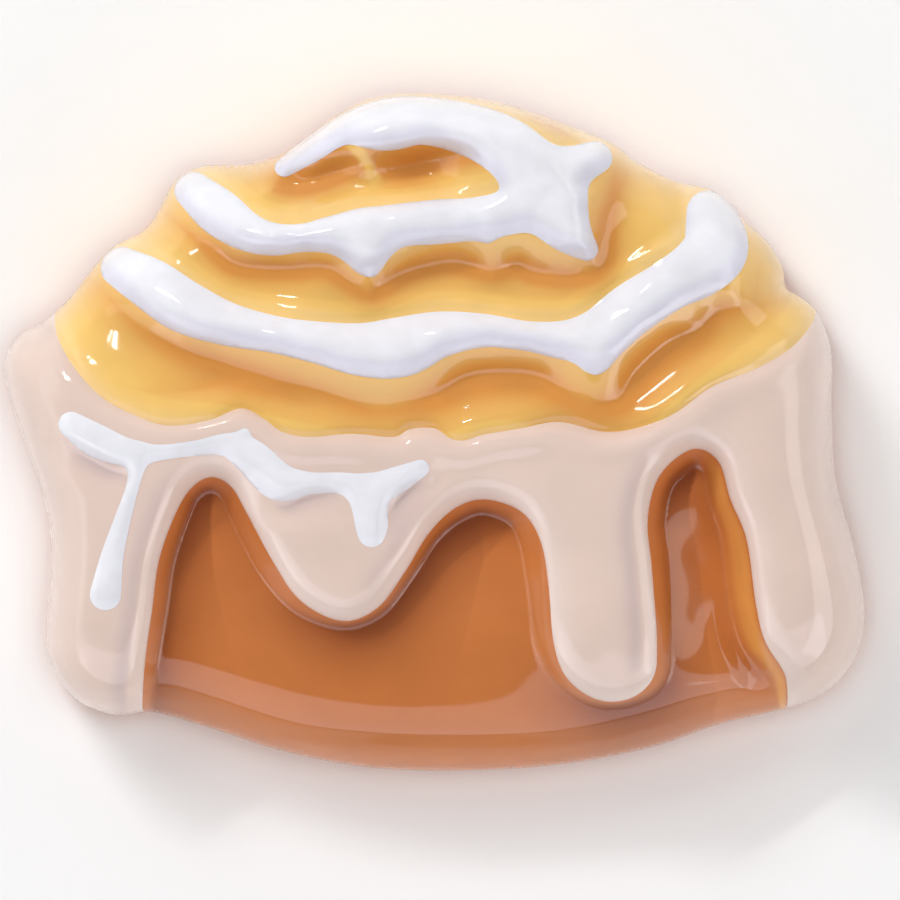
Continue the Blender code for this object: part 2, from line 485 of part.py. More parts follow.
def ring(line, offset, closed):
    """The points beside a line, at one distance from it."""
    ahead = np.roll(line, -1, 0) - np.roll(line, 1, 0) if closed else np.gradient(line, axis=0)
    ahead /= np.linalg.norm(ahead, axis=1)[:, None]
    at = line + offset * np.stack([-ahead[:, 1], ahead[:, 0]], -1)
    whole = np.vstack([line, line[:1]]) if closed else line
    return at[distance(at, whole) > abs(offset) * 0.97]


def ring_beside(stations):
    """The points on the right of a line, each as far from it as the line's third value there."""
    run = flow(stations, FACET)
    ahead = np.gradient(run[:, :2], axis=0)
    ahead /= np.linalg.norm(ahead, axis=1)[:, None]
    at = run[:, :2] + run[:, 2:] * np.stack([ahead[:, 1], -ahead[:, 0]], -1)
    return at[distance(at, run[:, :2]) > run[:, 2] * 0.97]


def clear_of(placed, row, gap):
    """The points of a row that keep a gap from the points already placed."""
    tree = KDTree(len(placed))
    for i, (x, y) in enumerate(placed):
        tree.insert((x, y, 0), i)
    tree.balance()
    return [(x, y) for x, y in row.tolist() if tree.find((x, y, 0))[2] > gap]


def signed_area(loop):
    """The area of a closed loop, above zero where it runs anticlockwise."""
    x, y = loop[:, 0], loop[:, 1]
    return 0.5 * (x * np.roll(y, -1) - np.roll(x, -1) * y).sum()


def face_mesh():
    """One flat triangle mesh of the whole face, with every seam in it, and the region of each triangle."""
    points = outline.tolist()
    count = len(points)
    edges = [(i, (i + 1) % count) for i in range(count)]
    for loop in ribbon_loops.values():
        first, n = len(points), len(loop)
        points += loop.tolist()
        edges += [(first + i, first + (i + 1) % n) for i in range(n)]
    for line in (rim, hem):
        ends = [int(np.linalg.norm(outline - line[end], axis=1).argmin()) for end in (0, -1)]
        first, n = len(points), len(line) - 2
        points += line[1:-1].tolist()
        chain = [ends[0], *range(first, first + n), ends[1]]
        edges += list(zip(chain[:-1], chain[1:]))

    seam_points = points[count:]
    seam_lines = [np.vstack([loop, loop[:1]]) for loop in ribbon_loops.values()] + [rim, hem]

    def off_the_seams(row, gap):
        """The points of a row inside the outline that keep a gap from every seam."""
        row = row[inside(row, outline)]
        return row[np.min([distance(row, line) for line in seam_lines], axis=0) > gap]

    turn = -1 if signed_area(outline) < 0 else 1
    for offset in EDGE_RINGS:
        row = off_the_seams(ring(outline, turn * offset, True), CLEARANCE)
        points += clear_of(seam_points, row, CLEARANCE)
    rows = [ring_beside(HEM), ring(hem, HEM_INNER_RING, False)]
    rows += [flow(stations, FACET)[:, :2] for stations, *_ in FACE_FOLDS + WALL_FOLDS]
    for row in rows:
        points += clear_of(points, off_the_seams(row, CLEARANCE), 1.25 * CLEARANCE)
    rise = FACET * math.sqrt(3) / 2
    across, up = outline.max(0) - outline.min(0)
    i, j = np.meshgrid(np.arange(round(across / FACET) + 1), np.arange(round(up / rise) + 1))
    lattice = np.stack([FACET * (i + 0.5 * (j % 2)), rise * j], -1).reshape(-1, 2) + outline.min(0)
    points += clear_of(points, off_the_seams(lattice, LATTICE_CLEARANCE), 1.25 * LATTICE_CLEARANCE)

    flat, _, faces, *_ = delaunay_2d_cdt([Vector(p) for p in points], edges, [], 0, 1e-6)
    flat, faces = np.array([tuple(v) for v in flat]), np.array([tuple(f) for f in faces])
    middle = flat[faces].mean(1)
    within = inside(middle, outline)
    faces, middle = faces[within], middle[within]
    a, b, c = flat[faces[:, 0]], flat[faces[:, 1]], flat[faces[:, 2]]
    side = (b - a)[:, 0] * (c - a)[:, 1] - (b - a)[:, 1] * (c - a)[:, 0]
    faces[side < 0] = faces[side < 0][:, ::-1]
    region = np.full(len(faces), "glaze", dtype="<U8")
    region[inside(middle, above_rim)] = "swirl"
    region[inside(middle, below_hem)] = "dough"
    for name, loop in ribbon_loops.items():
        region[inside(middle, loop)] = name
    return flat, faces, region


def border(faces):
    """The edges that only one of the triangles has, as a step from each vertex to the next."""
    steps = {(f[i], f[(i + 1) % 3]) for f in faces.tolist() for i in range(3)}
    return {a: b for a, b in steps if (b, a) not in steps}


def walk_round(steps):
    """The vertices of a closed border, in order."""
    start = next(iter(steps))
    loop = [start]
    while steps[loop[-1]] != start:
        loop.append(steps[loop[-1]])
    return loop


flat, faces, region = face_mesh()
ON_OUTLINE = 1e-4
on_outline = distance(flat, outline_line) < ON_OUTLINE
STRAIGHT_ON = 0.25


def drawn_in(loop, amount):
    """Flat places of all vertices, with a loop drawn in by an amount where it runs along a seam."""
    places = flat.copy()
    for before, here, after in zip(loop[-1:] + loop[:-1], loop, loop[1:] + loop[:1]):
        rows, offsets = [], []
        for a, b in ((before, here), (here, after)):
            ahead = flat[b] - flat[a]
            ahead /= np.linalg.norm(ahead)
            rows.append((-ahead[1], ahead[0]))
            offsets.append(0.0 if on_outline[a] and on_outline[b] else amount)
        if abs(np.linalg.det(rows)) > STRAIGHT_ON:
            places[here] += np.linalg.solve(rows, offsets)
        else:
            inward = np.sum(rows, axis=0)
            places[here] += inward / np.linalg.norm(inward) * max(offsets)
    return places


def inset(loop, amount):
    """A closed loop of places drawn in evenly."""
    ahead = np.roll(loop, -1, 0) - np.roll(loop, 1, 0)
    ahead /= np.linalg.norm(ahead, axis=1)[:, None]
    return loop + amount * np.stack([-ahead[:, 1], ahead[:, 0]], -1)


def build(name, terraces, under, plastic, draw_in=0.0, chamfer=0.0):
    """A closed solid from terraces of the face, each a set of regions with its height.

    A terrace or an underside whose height is a number is one flat face.
    """
    groups = [faces[np.isin(region, names)] for names, _ in terraces]
    loop = walk_round(border(np.vstack(groups)))
    places = drawn_in(loop, draw_in)
    bm = bmesh.new()
    columns = {}

    def vertex(x, y, z):
        return bm.verts.new(((x - CENTRE[0]) * SCALE, (y - CENTRE[1]) * SCALE, z * SCALE))

    def level(rank, height, used):
        """One level of vertices, at a flat height or at the height of the face."""
        used = np.array(sorted(used))
        z = np.full(len(used), height) if isinstance(height, float) else height(places[used])
        for v, (x, y), top in zip(used.tolist(), places[used], z):
            columns.setdefault(v, {})[rank] = vertex(x, y, top)

    def wall(a, b, low, high):
        """A wall between two levels over one edge, with the levels between them as corners too."""
        sides = []
        for v in (a, b):
            stack = sorted(columns[v].values(), key=lambda vert: vert.co.z)
            sides.append(stack[stack.index(columns[v][low]):stack.index(columns[v][high]) + 1])
        left, right = sides
        for lower, upper in zip(right[:-1], right[1:]):
            bm.faces.new((left[0], lower, upper))
        for lower, upper in zip(left[:-1], left[1:]):
            bm.faces.new((lower, right[-1], upper))

    borders = [border(group) for group in groups]
    for rank, (group, edge, (_, height)) in enumerate(zip(groups, borders, terraces)):
        if isinstance(height, float):
            level(rank, height, edge)
            bm.faces.new([columns[v][rank] for v in walk_round(edge)])
        else:
            level(rank, height, set(group.ravel().tolist()))
            for face in group.tolist():
                bm.faces.new([columns[v][rank] for v in face])
    if isinstance(under, float):
        level(-1, under, loop)
        foot = [columns[v][-1] for v in loop]
        if chamfer:
            edge = foot
            foot = [vertex(x, y, under - chamfer) for x, y in inset(places[loop], chamfer)]
            for i in range(len(foot)):
                j = (i + 1) % len(foot)
                bm.faces.new((foot[i], foot[j], edge[j], edge[i]))
        bm.faces.new(foot[::-1])
    else:
        whole = np.vstack(groups)
        level(-1, under, set(whole.ravel().tolist()))
        for face in whole.tolist():
            bm.faces.new([columns[v][-1] for v in face[::-1]])
    for rank, edge in enumerate(borders):
        for a, b in edge.items():
            other = next((r for r, e in enumerate(borders) if r != rank and e.get(b) == a), None)
            if other is None:
                wall(a, b, -1, rank)
            elif columns[a][rank].co.z > columns[a][other].co.z:
                wall(a, b, other, rank)
    mesh = bpy.data.meshes.new(name)
    bm.to_mesh(mesh)
    bm.free()
    mesh.shade_smooth()
    mesh.set_sharp_from_angle(angle=SHARP_ANGLE)
    mesh.materials.append(plastic)
    bpy.context.collection.objects.link(bpy.data.objects.new(name, mesh))


def gloss_plastic(name, colour, roughness):
    """A glossy plastic of one colour."""
    material = bpy.data.materials.new(name)
    material.use_nodes = True
    shader = material.node_tree.nodes["Principled BSDF"]
    shader.inputs["Base Color"].default_value = (*colour, 1.0)
    shader.inputs["Roughness"].default_value = roughness
    return material


for old in list(bpy.data.objects):
    bpy.data.objects.remove(old, do_unlink=True)

brown = gloss_plastic("dough_brown", *DOUGH_BROWN)
cream = gloss_plastic("glaze_cream", *GLAZE_CREAM)
gold = gloss_plastic("swirl_gold", *SWIRL_GOLD)
white = gloss_plastic("icing_white", *ICING_WHITE)

# The dough is the wall of the roll and the plate behind the rest
others = ["glaze", "swirl", "curl", "arc", "drizzle"]
dough_terraces = [(["dough"], base_height), (others, PLATE_THICKNESS)]
build("dough_body", dough_terraces, BACK_CHAMFER, brown, chamfer=BACK_CHAMFER)

# The glaze and the swirl stand on the plate, with a bed for each ribbon of icing
column_foot = PLATE_THICKNESS + GAP
glaze_terraces = [(["glaze"], base_height), (["drizzle"], bed_height)]
build("glaze_skirt", glaze_terraces, column_foot, cream, draw_in=GAP)
swirl_terraces = [(["swirl"], base_height), (["curl"], bed_height), (["arc"], bed_height)]
build("swirl_top", swirl_terraces, column_foot, gold)

# The icing lies in its beds
for node, name in (("icing_curl", "curl"), ("icing_arc", "arc"), ("icing_drizzle", "drizzle")):
    build(node, [([name], icing_height)], icing_underside, white, draw_in=GAP)
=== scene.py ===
import math

import bmesh
import bpy
import numpy as np
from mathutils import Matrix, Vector
from mathutils.geometry import delaunay_2d_cdt
from mathutils.kdtree import KDTree


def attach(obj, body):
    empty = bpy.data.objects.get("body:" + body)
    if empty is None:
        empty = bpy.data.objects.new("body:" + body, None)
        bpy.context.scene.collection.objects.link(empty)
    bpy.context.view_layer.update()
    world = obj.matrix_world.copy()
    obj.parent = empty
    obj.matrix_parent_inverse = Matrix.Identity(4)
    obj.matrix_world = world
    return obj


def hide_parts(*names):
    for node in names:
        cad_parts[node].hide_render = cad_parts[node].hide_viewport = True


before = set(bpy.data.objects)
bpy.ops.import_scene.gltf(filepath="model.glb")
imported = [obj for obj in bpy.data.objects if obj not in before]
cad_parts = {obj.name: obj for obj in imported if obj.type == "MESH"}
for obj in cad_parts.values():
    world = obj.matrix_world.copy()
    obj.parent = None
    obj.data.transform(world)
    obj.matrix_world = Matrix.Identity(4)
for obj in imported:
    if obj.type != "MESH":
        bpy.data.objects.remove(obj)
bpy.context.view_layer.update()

# The mould. One cavity shapes every colour, so one surface runs on from piece to piece: a steep
# edge all round, three coils that step down towards the rim, and drips that stand out of the wall.
MM = 0.001
WIDTH = 32.0
FIT = 0.9995
FINE = 0.1
OUTLINE_STEP = FINE * 1.5
SEAM_STEP = FINE * 1.2
RIBBON_STEP = FINE * 1.1
CLEARANCE = 0.6 * FINE
LATTICE_CORNER = (-16.5, -13.0)
LATTICE_SIZE = (33.0, 26.0)
RING_CLEARANCE = 0.99
HEM_RING_CLEARANCE = 0.98
LINE_STEP = 0.15
LEVEL_GRID = 0.08
LEVEL_MARGIN = 2.0
LEVEL_BAND = 0.3
SHARP_ANGLE = math.radians(50)
BATCH = 4000
TINY = 1e-9
EDGE_HEIGHT = 1.5
EDGE_ROLL = 2.1
FOOT_ROLL = 2.5
TOP_ROLL = 1.5
FOOT_ZONE = (8.5, 0.8)
FOOT_MIDDLE = 0.8
FOOT_ENDS = (-11.4, 0.4)
TOP_ZONE = (9.3, 0.6)
HEM_ROUND = 0.95
HEM_BULGE = 2.4
HEM_FILLET = 0.22
FOLD_ROUND = 0.3
SEAM_GROOVE = 0.1
SEAM_GROOVE_WIDTH = 0.16
LIP_HEIGHT = 0.16
LIP_AWAY = 0.55
LIP_WIDTH = 0.46
SILHOUETTE = [
    (-0.6, 12.6), (-2.3, 12.4), (-3.6, 11.8), (-5.0, 10.8), (-5.9, 10.25), (-7.1, 9.95), (-8.6, 9.9),
    (-9.6, 9.4), (-10.1, 8.55), (-10.5, 7.85), (-11.0, 7.4), (-12.0, 6.85), (-12.9, 5.85), (-13.6, 4.95),
    (-14.5, 4.15), (-15.5, 3.55), (-16.0, 2.5), (-15.75, 1.1), (-15.1, -0.8), (-14.5, -2.6),
    (-14.25, -4.6), (-14.45, -7.4), (-14.25, -8.75), (-13.3, -10.0), (-11.9, -10.55), (-10.5, -10.45),
    (-8.6, -10.95), (-5.6, -11.9), (-2.4, -12.5), (1.0, -12.62), (4.6, -12.4), (8.0, -11.78),
    (10.6, -10.9), (13.4, -10.2), (14.9, -9.45), (15.85, -8.0), (16.0, -6.4), (15.6, -4.2),
    (14.95, -1.8), (14.8, 0.8), (14.8, 2.9), (14.3, 4.4), (13.55, 5.08), (13.1, 5.4), (12.95, 6.2),
    (12.3, 7.2), (11.6, 7.8), (11.1, 8.45), (10.2, 9.05), (8.95, 9.35), (7.55, 10.05), (6.7, 10.7),
    (4.9, 11.45), (2.2, 12.3),
]
RIM = [
    (-14.1, 4.5), (-13.9, 3.5), (-13.2, 2.3), (-12.2, 1.25), (-11.0, 0.6), (-9.8, 0.22), (-8.3, 0.4),
    (-7.1, 0.85), (-6.3, 0.5), (-5.6, 0.0), (-4.6, -0.2), (-3.0, -0.08), (-1.5, -0.2), (-0.9, 0.08),
    (0.0, 0.12), (0.6, -0.25), (1.1, -0.33), (1.8, -0.12), (3.2, 0.12), (4.6, 0.35), (6.2, 0.0),
    (7.4, 0.12), (8.8, 0.65), (10.2, 1.65), (11.8, 2.3), (13.1, 3.05), (13.9, 3.9), (14.2, 4.5),
]
HEM = [
    (-10.85, -10.45, 0.5), (-10.65, -8.3, 0.6), (-10.4, -6.6, 0.65), (-10.15, -4.8, 0.65), (-9.6, -3.2, 0.6),
    (-9.0, -2.15, 0.5), (-8.25, -1.68, 0.6), (-7.5, -2.0, 0.6), (-6.9, -3.0, 0.7), (-5.9, -4.85, 0.75),
    (-4.9, -6.25, 0.55), (-3.4, -6.98, 0.35), (-2.1, -6.5, 0.4), (-1.1, -5.2, 0.45), (-0.2, -3.75, 0.5),
    (0.8, -2.8, 0.6), (1.9, -2.5, 0.6), (3.2, -2.95, 0.7), (3.9, -4.0, 0.85), (4.2, -5.6, 0.9),
    (4.4, -7.8, 0.8), (4.9, -9.1, 0.5), (6.0, -9.88, 0.35), (7.2, -9.85, 0.35), (8.05, -9.1, 0.6),
    (8.2, -7.8, 0.6), (8.0, -5.0, 0.65), (7.85, -3.2, 0.65), (8.3, -1.6, 0.65), (9.5, -0.65, 0.7),
    (10.45, -1.1, 0.7), (10.9, -2.5, 0.8), (11.5, -4.0, 0.95), (11.85, -6.4, 1.0), (12.2, -7.75, 0.9),
    (12.95, -9.0, 0.6), (13.12, -10.25, 0.4)]
ICING_CURL = [
    [(-8.95, 8.95, 0.68, 6.6), (-7.9, 8.05, 0.86, 7.6), (-6.9, 7.35, 0.72, 8.2), (-5.9, 7.05, 0.6, 8.6),
     (-4.8, 7.1, 0.52, 8.8), (-3.8, 7.2, 0.68, 9.0), (-2.6, 7.2, 0.95, 9.1), (-1.2, 7.55, 0.8, 9.2),
     (0.2, 7.68, 0.82, 9.3), (1.6, 7.8, 0.78, 9.3), (3.0, 8.1, 0.85, 9.35), (4.2, 8.7, 1.2, 9.3)],
    [(-5.5, 9.75, 0.38, 8.0), (-4.6, 10.35, 0.52, 8.6), (-3.3, 11.1, 0.6, 9.0), (-1.8, 11.28, 1.0, 9.2),
     (-0.4, 11.42, 0.92, 9.3), (1.2, 11.1, 0.98, 9.4), (2.6, 10.45, 1.1, 9.5), (3.75, 9.4, 1.2, 9.4)],
    [(3.9, 9.0, 1.4, 9.4), (5.15, 9.7, 0.8, 8.8), (5.95, 10.1, 0.62, 8.2)],
    [(4.2, 8.6, 1.4, 9.3), (4.75, 7.6, 0.95, 9.15), (5.2, 7.05, 0.65, 9.0), (5.6, 6.68, 0.42, 8.7)],
    [(-2.5, 7.0, 1.05, 9.1), (-2.45, 6.45, 0.72, 8.9), (-2.35, 6.05, 0.4, 8.6)],
    [(1.9, 7.6, 0.6, 9.3), (1.95, 7.2, 0.28, 9.2)]]
ICING_ARC = [
    [(-11.6, 6.1, 0.75, 6.6), (-10.4, 5.4, 0.95, 7.3), (-9.2, 4.6, 0.98, 7.8), (-7.6, 3.95, 0.8, 8.1),
     (-5.8, 3.55, 0.68, 8.35), (-4.2, 3.25, 0.78, 8.5), (-2.6, 3.0, 0.98, 8.6), (-1.2, 3.1, 1.1, 8.65),
     (0.2, 3.55, 0.85, 8.7), (1.8, 3.7, 0.62, 8.7), (3.4, 3.5, 0.55, 8.7), (4.8, 3.35, 0.72, 8.65),
     (6.0, 3.5, 0.95, 8.6), (7.2, 4.45, 0.98, 8.5), (8.6, 5.35, 0.95, 8.2), (9.7, 6.0, 1.1, 7.8),
     (10.35, 6.7, 1.2, 7.4), (10.35, 7.5, 1.1, 7.1), (10.2, 8.05, 0.9, 6.8)],
    [(5.9, 3.3, 0.95, 8.6), (5.9, 2.85, 0.72, 8.5), (5.92, 2.5, 0.42, 8.3)]]
ICING_DRIZZLE = [
    [(-13.35, 0.25, 0.48), (-12.4, -0.35, 0.62), (-11.3, -0.75, 0.5), (-10.2, -0.78, 0.3),
     (-8.8, -0.62, 0.28), (-7.6, -0.5, 0.42), (-6.7, -0.95, 0.65), (-5.7, -1.85, 0.7), (-4.6, -1.9, 0.42),
     (-3.4, -1.9, 0.4), (-2.4, -2.15, 0.55), (-1.4, -1.8, 0.5), (-0.5, -1.35, 0.32)],
    [(-10.9, -0.9, 0.4), (-11.05, -1.9, 0.24), (-11.45, -3.2, 0.3), (-11.85, -4.6, 0.42),
     (-12.1, -6.0, 0.58)],
    [(-2.4, -2.3, 0.7), (-2.3, -3.4, 0.6), (-2.3, -3.75, 0.5)],
    [(-7.3, -0.5, 0.3), (-6.95, -0.05, 0.16)],
]
SHOULDER_REACH = 0.85
SHOULDER_DROP = 0.2
SHOULDER_FREE = 0.35
STRAND_FILLET = 0.12
ABOVE = np.array([-0.15, 0.6])
ABOVE_FADE = 0.5
EYE_HOLLOW = [(-7.0, 9.3, 7.2), (-5.8, 8.85, 8.0), (-4.6, 9.0, 8.5), (-3.7, 9.3, 8.75),
              (-1.8, 9.25, 8.85), (-0.6, 9.75, 8.95), (0.8, 9.75, 9.1), (1.9, 9.25, 9.2)]
EYE_FOLD = [(-2.7, 9.9, 8.9), (-2.65, 9.1, 8.75)]
EYE_STEP = [(-4.0, 8.45, 8.65), (-2.0, 8.75, 8.75), (0.2, 9.0, 8.8)]
MIDDLE_VALLEY = [(-9.9, 7.9, 6.3), (-9.0, 7.4, 6.9), (-8.0, 6.6, 7.7), (-6.8, 5.95, 8.1), (-5.2, 5.75, 8.4),
                 (-3.6, 5.7, 8.6), (-2.4, 5.1, 8.6), (-1.4, 5.5, 8.7), (-0.2, 6.05, 8.75), (1.2, 6.1, 8.8),
                 (2.25, 5.7, 8.8), (3.1, 6.0, 8.8), (4.4, 5.6, 8.75), (5.7, 5.5, 8.6), (6.8, 6.3, 8.2),
                 (7.0, 7.6, 7.9), (7.2, 8.7, 7.4), (7.6, 9.5, 6.8)]
STAR_FACE = [(5.3, 8.6, 9.2), (5.0, 9.3, 9.15), (5.4, 7.8, 9.15)]
MIDDLE_RISE = [(-9.6, 6.6, 7.2), (-7.6, 5.3, 7.9), (-5.0, 4.7, 8.35), (-2.0, 4.6, 8.55), (1.0, 5.0, 8.65),
               (4.0, 4.6, 8.65), (6.6, 5.2, 8.5), (8.0, 6.6, 8.0), (8.4, 7.8, 7.4)]
OUTER_VALLEY = [(-12.6, 5.0, 6.2), (-11.3, 4.1, 6.9), (-9.7, 3.05, 7.5), (-8.0, 2.5, 7.8), (-6.0, 2.05, 8.0),
                (-4.0, 1.45, 8.1), (-2.0, 1.0, 8.1), (-0.4, 1.3, 8.2), (1.0, 1.8, 8.3), (2.5, 2.15, 8.35),
                (4.0, 1.8, 8.3), (5.4, 1.15, 8.2), (6.6, 1.25, 8.1), (7.6, 2.2, 8.1), (9.2, 3.4, 7.9),
                (10.8, 4.4, 7.4), (12.0, 4.9, 6.8), (12.9, 5.1, 6.2)]
SIDE_COIL = [(12.0, 6.6, 6.6), (11.5, 5.7, 7.2), (10.9, 5.1, 7.5)]
RIM_CREST = [(-14.0, 3.3, 6.2), (-13.4, 2.0, 6.7), (-12.4, 0.95, 7.1), (-11.0, 0.2, 7.5), (-9.6, -0.15, 7.7),
             (-8.2, 0.0, 7.8), (-7.0, 0.45, 7.9), (-5.4, -0.35, 7.9), (-2.8, -0.35, 8.0), (0.0, -0.2, 8.05),
             (3.0, -0.15, 8.1), (6.2, -0.3, 8.0), (8.8, 0.35, 7.9), (10.6, 1.45, 7.6), (12.4, 2.3, 7.1),
             (13.9, 3.5, 6.4)]
GLAZE_SIDES = [(-15.0, 2.2, 6.4), (-13.8, 0.2, 6.9), (-13.5, -2.6, 6.7), (-12.9, -6.6, 6.5),
               (-12.9, -8.8, 6.1), (-11.2, -0.9, 7.4), (-11.0, -3.0, 7.0), (-11.1, -6.0, 6.6),
               (-11.5, -9.0, 6.0), (13.6, 1.8, 7.0), (12.6, 0.2, 7.4), (12.9, -2.4, 7.2),
               (13.6, -5.6, 6.9), (13.9, -8.2, 6.2)]
GLAZE_DRIPS = [(-8.2, -0.8, 7.6), (-5.6, -2.4, 7.6), (-3.2, -1.4, 7.8), (-3.3, -4.0, 7.5), (-3.4, -6.0, 7.0),
               (1.6, -1.3, 7.9), (6.1, -1.4, 7.9), (6.2, -4.0, 7.7), (6.3, -7.0, 7.3), (6.5, -9.2, 6.6),
               (9.6, 0.1, 7.8)]
CURL_FOOT = [(-10.1, 8.2, 0.1), (-8.9, 7.2, 0.35), (-7.9, 6.4, 0.6), (-7.1, 6.0, 0.7), (-5.2, 5.9, 0.7),
             (-4.0, 5.95, 0.65), (-3.2, 5.4, 0.55), (-2.4, 4.97, 0.5), (-1.9, 5.2, 0.65), (-1.0, 5.8, 0.8),
             (0.45, 6.2, 0.85), (1.35, 6.05, 0.75), (2.2, 5.75, 0.55), (3.0, 6.1, 0.75), (3.6, 5.8, 0.75),
             (4.9, 5.6, 0.65), (5.9, 5.7, 0.5), (6.4, 6.4, 0.45), (6.45, 7.2, 0.35), (6.6, 8.3, 0.2),
             (7.1, 9.5, 0.1)]
ARC_FOOT = [(-13.0, 6.0, 0.1), (-12.25, 5.2, 0.2), (-10.9, 3.85, 0.35), (-9.5, 3.05, 0.45),
            (-8.5, 2.65, 0.5), (-7.5, 2.35, 0.5), (-5.75, 1.85, 0.45), (-4.25, 1.45, 0.4),
            (-2.75, 0.9, 0.4), (-1.85, 0.75, 0.35), (-0.7, 0.95, 0.45), (0.2, 1.35, 0.6),
            (1.2, 1.95, 0.7), (2.45, 2.1, 0.7), (3.85, 1.95, 0.65), (4.8, 1.25, 0.5), (5.9, 0.85, 0.5),
            (6.9, 1.15, 0.65), (7.4, 2.1, 0.75), (8.6, 3.2, 0.75), (9.65, 3.65, 0.65), (10.45, 4.35, 0.5),
            (11.5, 4.55, 0.3), (13.2, 4.95, 0.1), (14.0, 5.3, 0.0)]
EYE_FOOT = [(-6.4, 8.75, 0.0), (-5.6, 8.9, 0.5), (-4.9, 9.05, 0.95), (-4.3, 9.2, 1.15), (-3.6, 9.45, 1.1),
            (-3.0, 9.6, 0.8), (-2.4, 9.62, 0.5), (-1.9, 9.6, 0.8), (-1.2, 9.68, 1.15), (-0.5, 9.85, 1.25),
            (0.2, 10.0, 1.0), (1.0, 10.0, 0.6), (1.8, 9.75, 0.25), (2.3, 9.35, 0.0)]
BOWL_FOLD = [(-12.4, 1.9, 0.0), (-10.5, 1.5, 0.08), (-9.0, 1.55, 0.12), (-7.7, 1.75, 0.12),
             (-6.2, 1.5, 0.12), (-4.9, 1.15, 0.06), (-4.0, 0.8, 0.0)]
DRIZZLE_FOOT = [(-13.7, -0.4, 0.0), (-12.9, -0.95, 0.3), (-12.0, -1.45, 0.35), (-11.4, -1.7, 0.2),
                (-11.3, -2.4, 0.0)]
DRIP_FOLD = [(-6.6, -1.7, 0.05), (-6.0, -2.5, 0.2), (-5.5, -2.8, 0.3), (-4.7, -2.5, 0.3), (-3.8, -2.4, 0.2),
             (-3.2, -2.7, 0.0)]
SIDE_FOLD = [(12.2, 6.6, 0.0), (11.95, 6.0, 0.08), (11.9, 5.4, 0.08), (11.7, 4.8, 0.0)]
DRIZZLE_SIDE = [(-1.7, -4.2, 0.0), (-1.5, -3.2, 0.2), (-1.2, -2.5, 0.3), (-0.5, -1.9, 0.2), (0.0, -1.6, 0.0)]
FACE_FOLDS = [(CURL_FOOT, 1.0, 2.6), (ARC_FOOT, 1.0, 1.9), (EYE_FOOT, 0.85, 1.7), (BOWL_FOLD, 0.6, 0.9),
              (DRIZZLE_FOOT, 0.5, 1.1), (DRIP_FOLD, 0.5, 1.0), (DRIZZLE_SIDE, 0.5, 0.8),
              (SIDE_FOLD, 0.35, 0.5)]
LIP_LINE = [(-10.2, -10.1, 0.02), (-8.6, -10.25, 0.05), (-6.1, -11.0, 0.05), (-2.9, -11.3, 0.05),
            (0.95, -11.4, 0.05), (4.65, -11.27, 0.05), (7.6, -10.75, 0.05), (9.8, -10.1, 0.05),
            (11.3, -9.7, 0.02)]
CORNER_FOLD = [(10.9, -6.4, 0.0), (11.3, -7.9, 0.2), (11.8, -8.9, 0.25), (12.3, -9.7, 0.1),
               (12.5, -10.1, 0.0)]
WALL_FOLDS = [(LIP_LINE, 0.12, 0.16), (CORNER_FOLD, 0.5, 0.6)]
DOUGH_WALL = [(-10.4, -10.0, 4.3), (-9.6, -8.4, 4.9), (-9.0, -4.6, 5.3), (-8.2, -2.4, 5.5),
              (-6.0, -9.2, 5.2), (-4.0, -8.2, 5.5), (0.0, -9.4, 5.4), (0.2, -5.6, 5.9), (1.6, -3.2, 5.9),
              (4.2, -10.0, 5.2), (8.35, -4.0, 6.3), (8.7, -7.0, 6.15), (9.0, -9.3, 5.5), (9.6, -4.6, 5.5),
              (9.8, -7.2, 5.35), (9.5, -1.8, 5.7), (11.5, -8.6, 4.9), (12.8, -9.9, 4.3)]


def flow(points, spacing, closed=False, count=12):
    """A smooth curve through the points, cut into even steps."""
    p = np.array(points, float)
    p = np.vstack([p[-1:], p, p[:2]]) if closed else np.vstack([2 * p[0] - p[1], p, 2 * p[-1] - p[-2]])
    a, b, c, d = p[:-3, None], p[1:-2, None], p[2:-1, None], p[3:, None]
    t = np.linspace(0, 1, count, endpoint=False)[None, :, None]
    run = b + 0.5 * t * (c - a + t * (2 * a - 5 * b + 4 * c - d + t * (3 * (b - c) + d - a)))
    run = np.vstack([run.reshape(-1, p.shape[1]), p[-2:-1]])
    length = np.concatenate([[0], np.cumsum(np.linalg.norm(np.diff(run[:, :2], axis=0), axis=1))])
    steps = max(2, round(length[-1] / spacing))
    at = np.linspace(0, length[-1], steps + 1)
    even = np.stack([np.interp(at, length, run[:, k]) for k in range(run.shape[1])], -1)
    return even[:-1] if closed else even


def in_batches(measure):
    """Runs a measure of points over one batch of them at a time."""

    def run(p, *rest):
        cuts = range(0, len(p), BATCH)
        return np.concatenate([measure(p[i:i + BATCH], *rest) for i in cuts]) if len(p) else np.empty(0)

    return run


@in_batches
def distance(p, line):
    """Distance from each point to a line of straight steps."""
    a = line[:-1]
    along = line[1:] - a
    x, y = p[:, None, 0] - a[:, 0], p[:, None, 1] - a[:, 1]
    share = np.clip((x * along[:, 0] + y * along[:, 1]) / (along**2).sum(1), 0, 1)
    x -= share * along[:, 0]
    y -= share * along[:, 1]
    return np.sqrt((x * x + y * y).min(1))


@in_batches
def soft_distance(p, line):
    """Distance to a closed line that keeps no crease where two stretches of it are equally near."""
    a = line[:-1]
    along = line[1:] - a
    length = np.linalg.norm(along, axis=1)
    along /= length[:, None]
    x, y = p[:, None, 0] - a[:, 0], p[:, None, 1] - a[:, 1]
    start = -(x * along[:, 0] + y * along[:, 1])
    off2 = (x * along[:, 1] - y * along[:, 0]) ** 2 + TINY
    end = start + length
    pull = (end / np.sqrt(off2 + end**2) - start / np.sqrt(off2 + start**2)) / off2
    return 1 / np.sqrt(pull.sum(1) / 2)


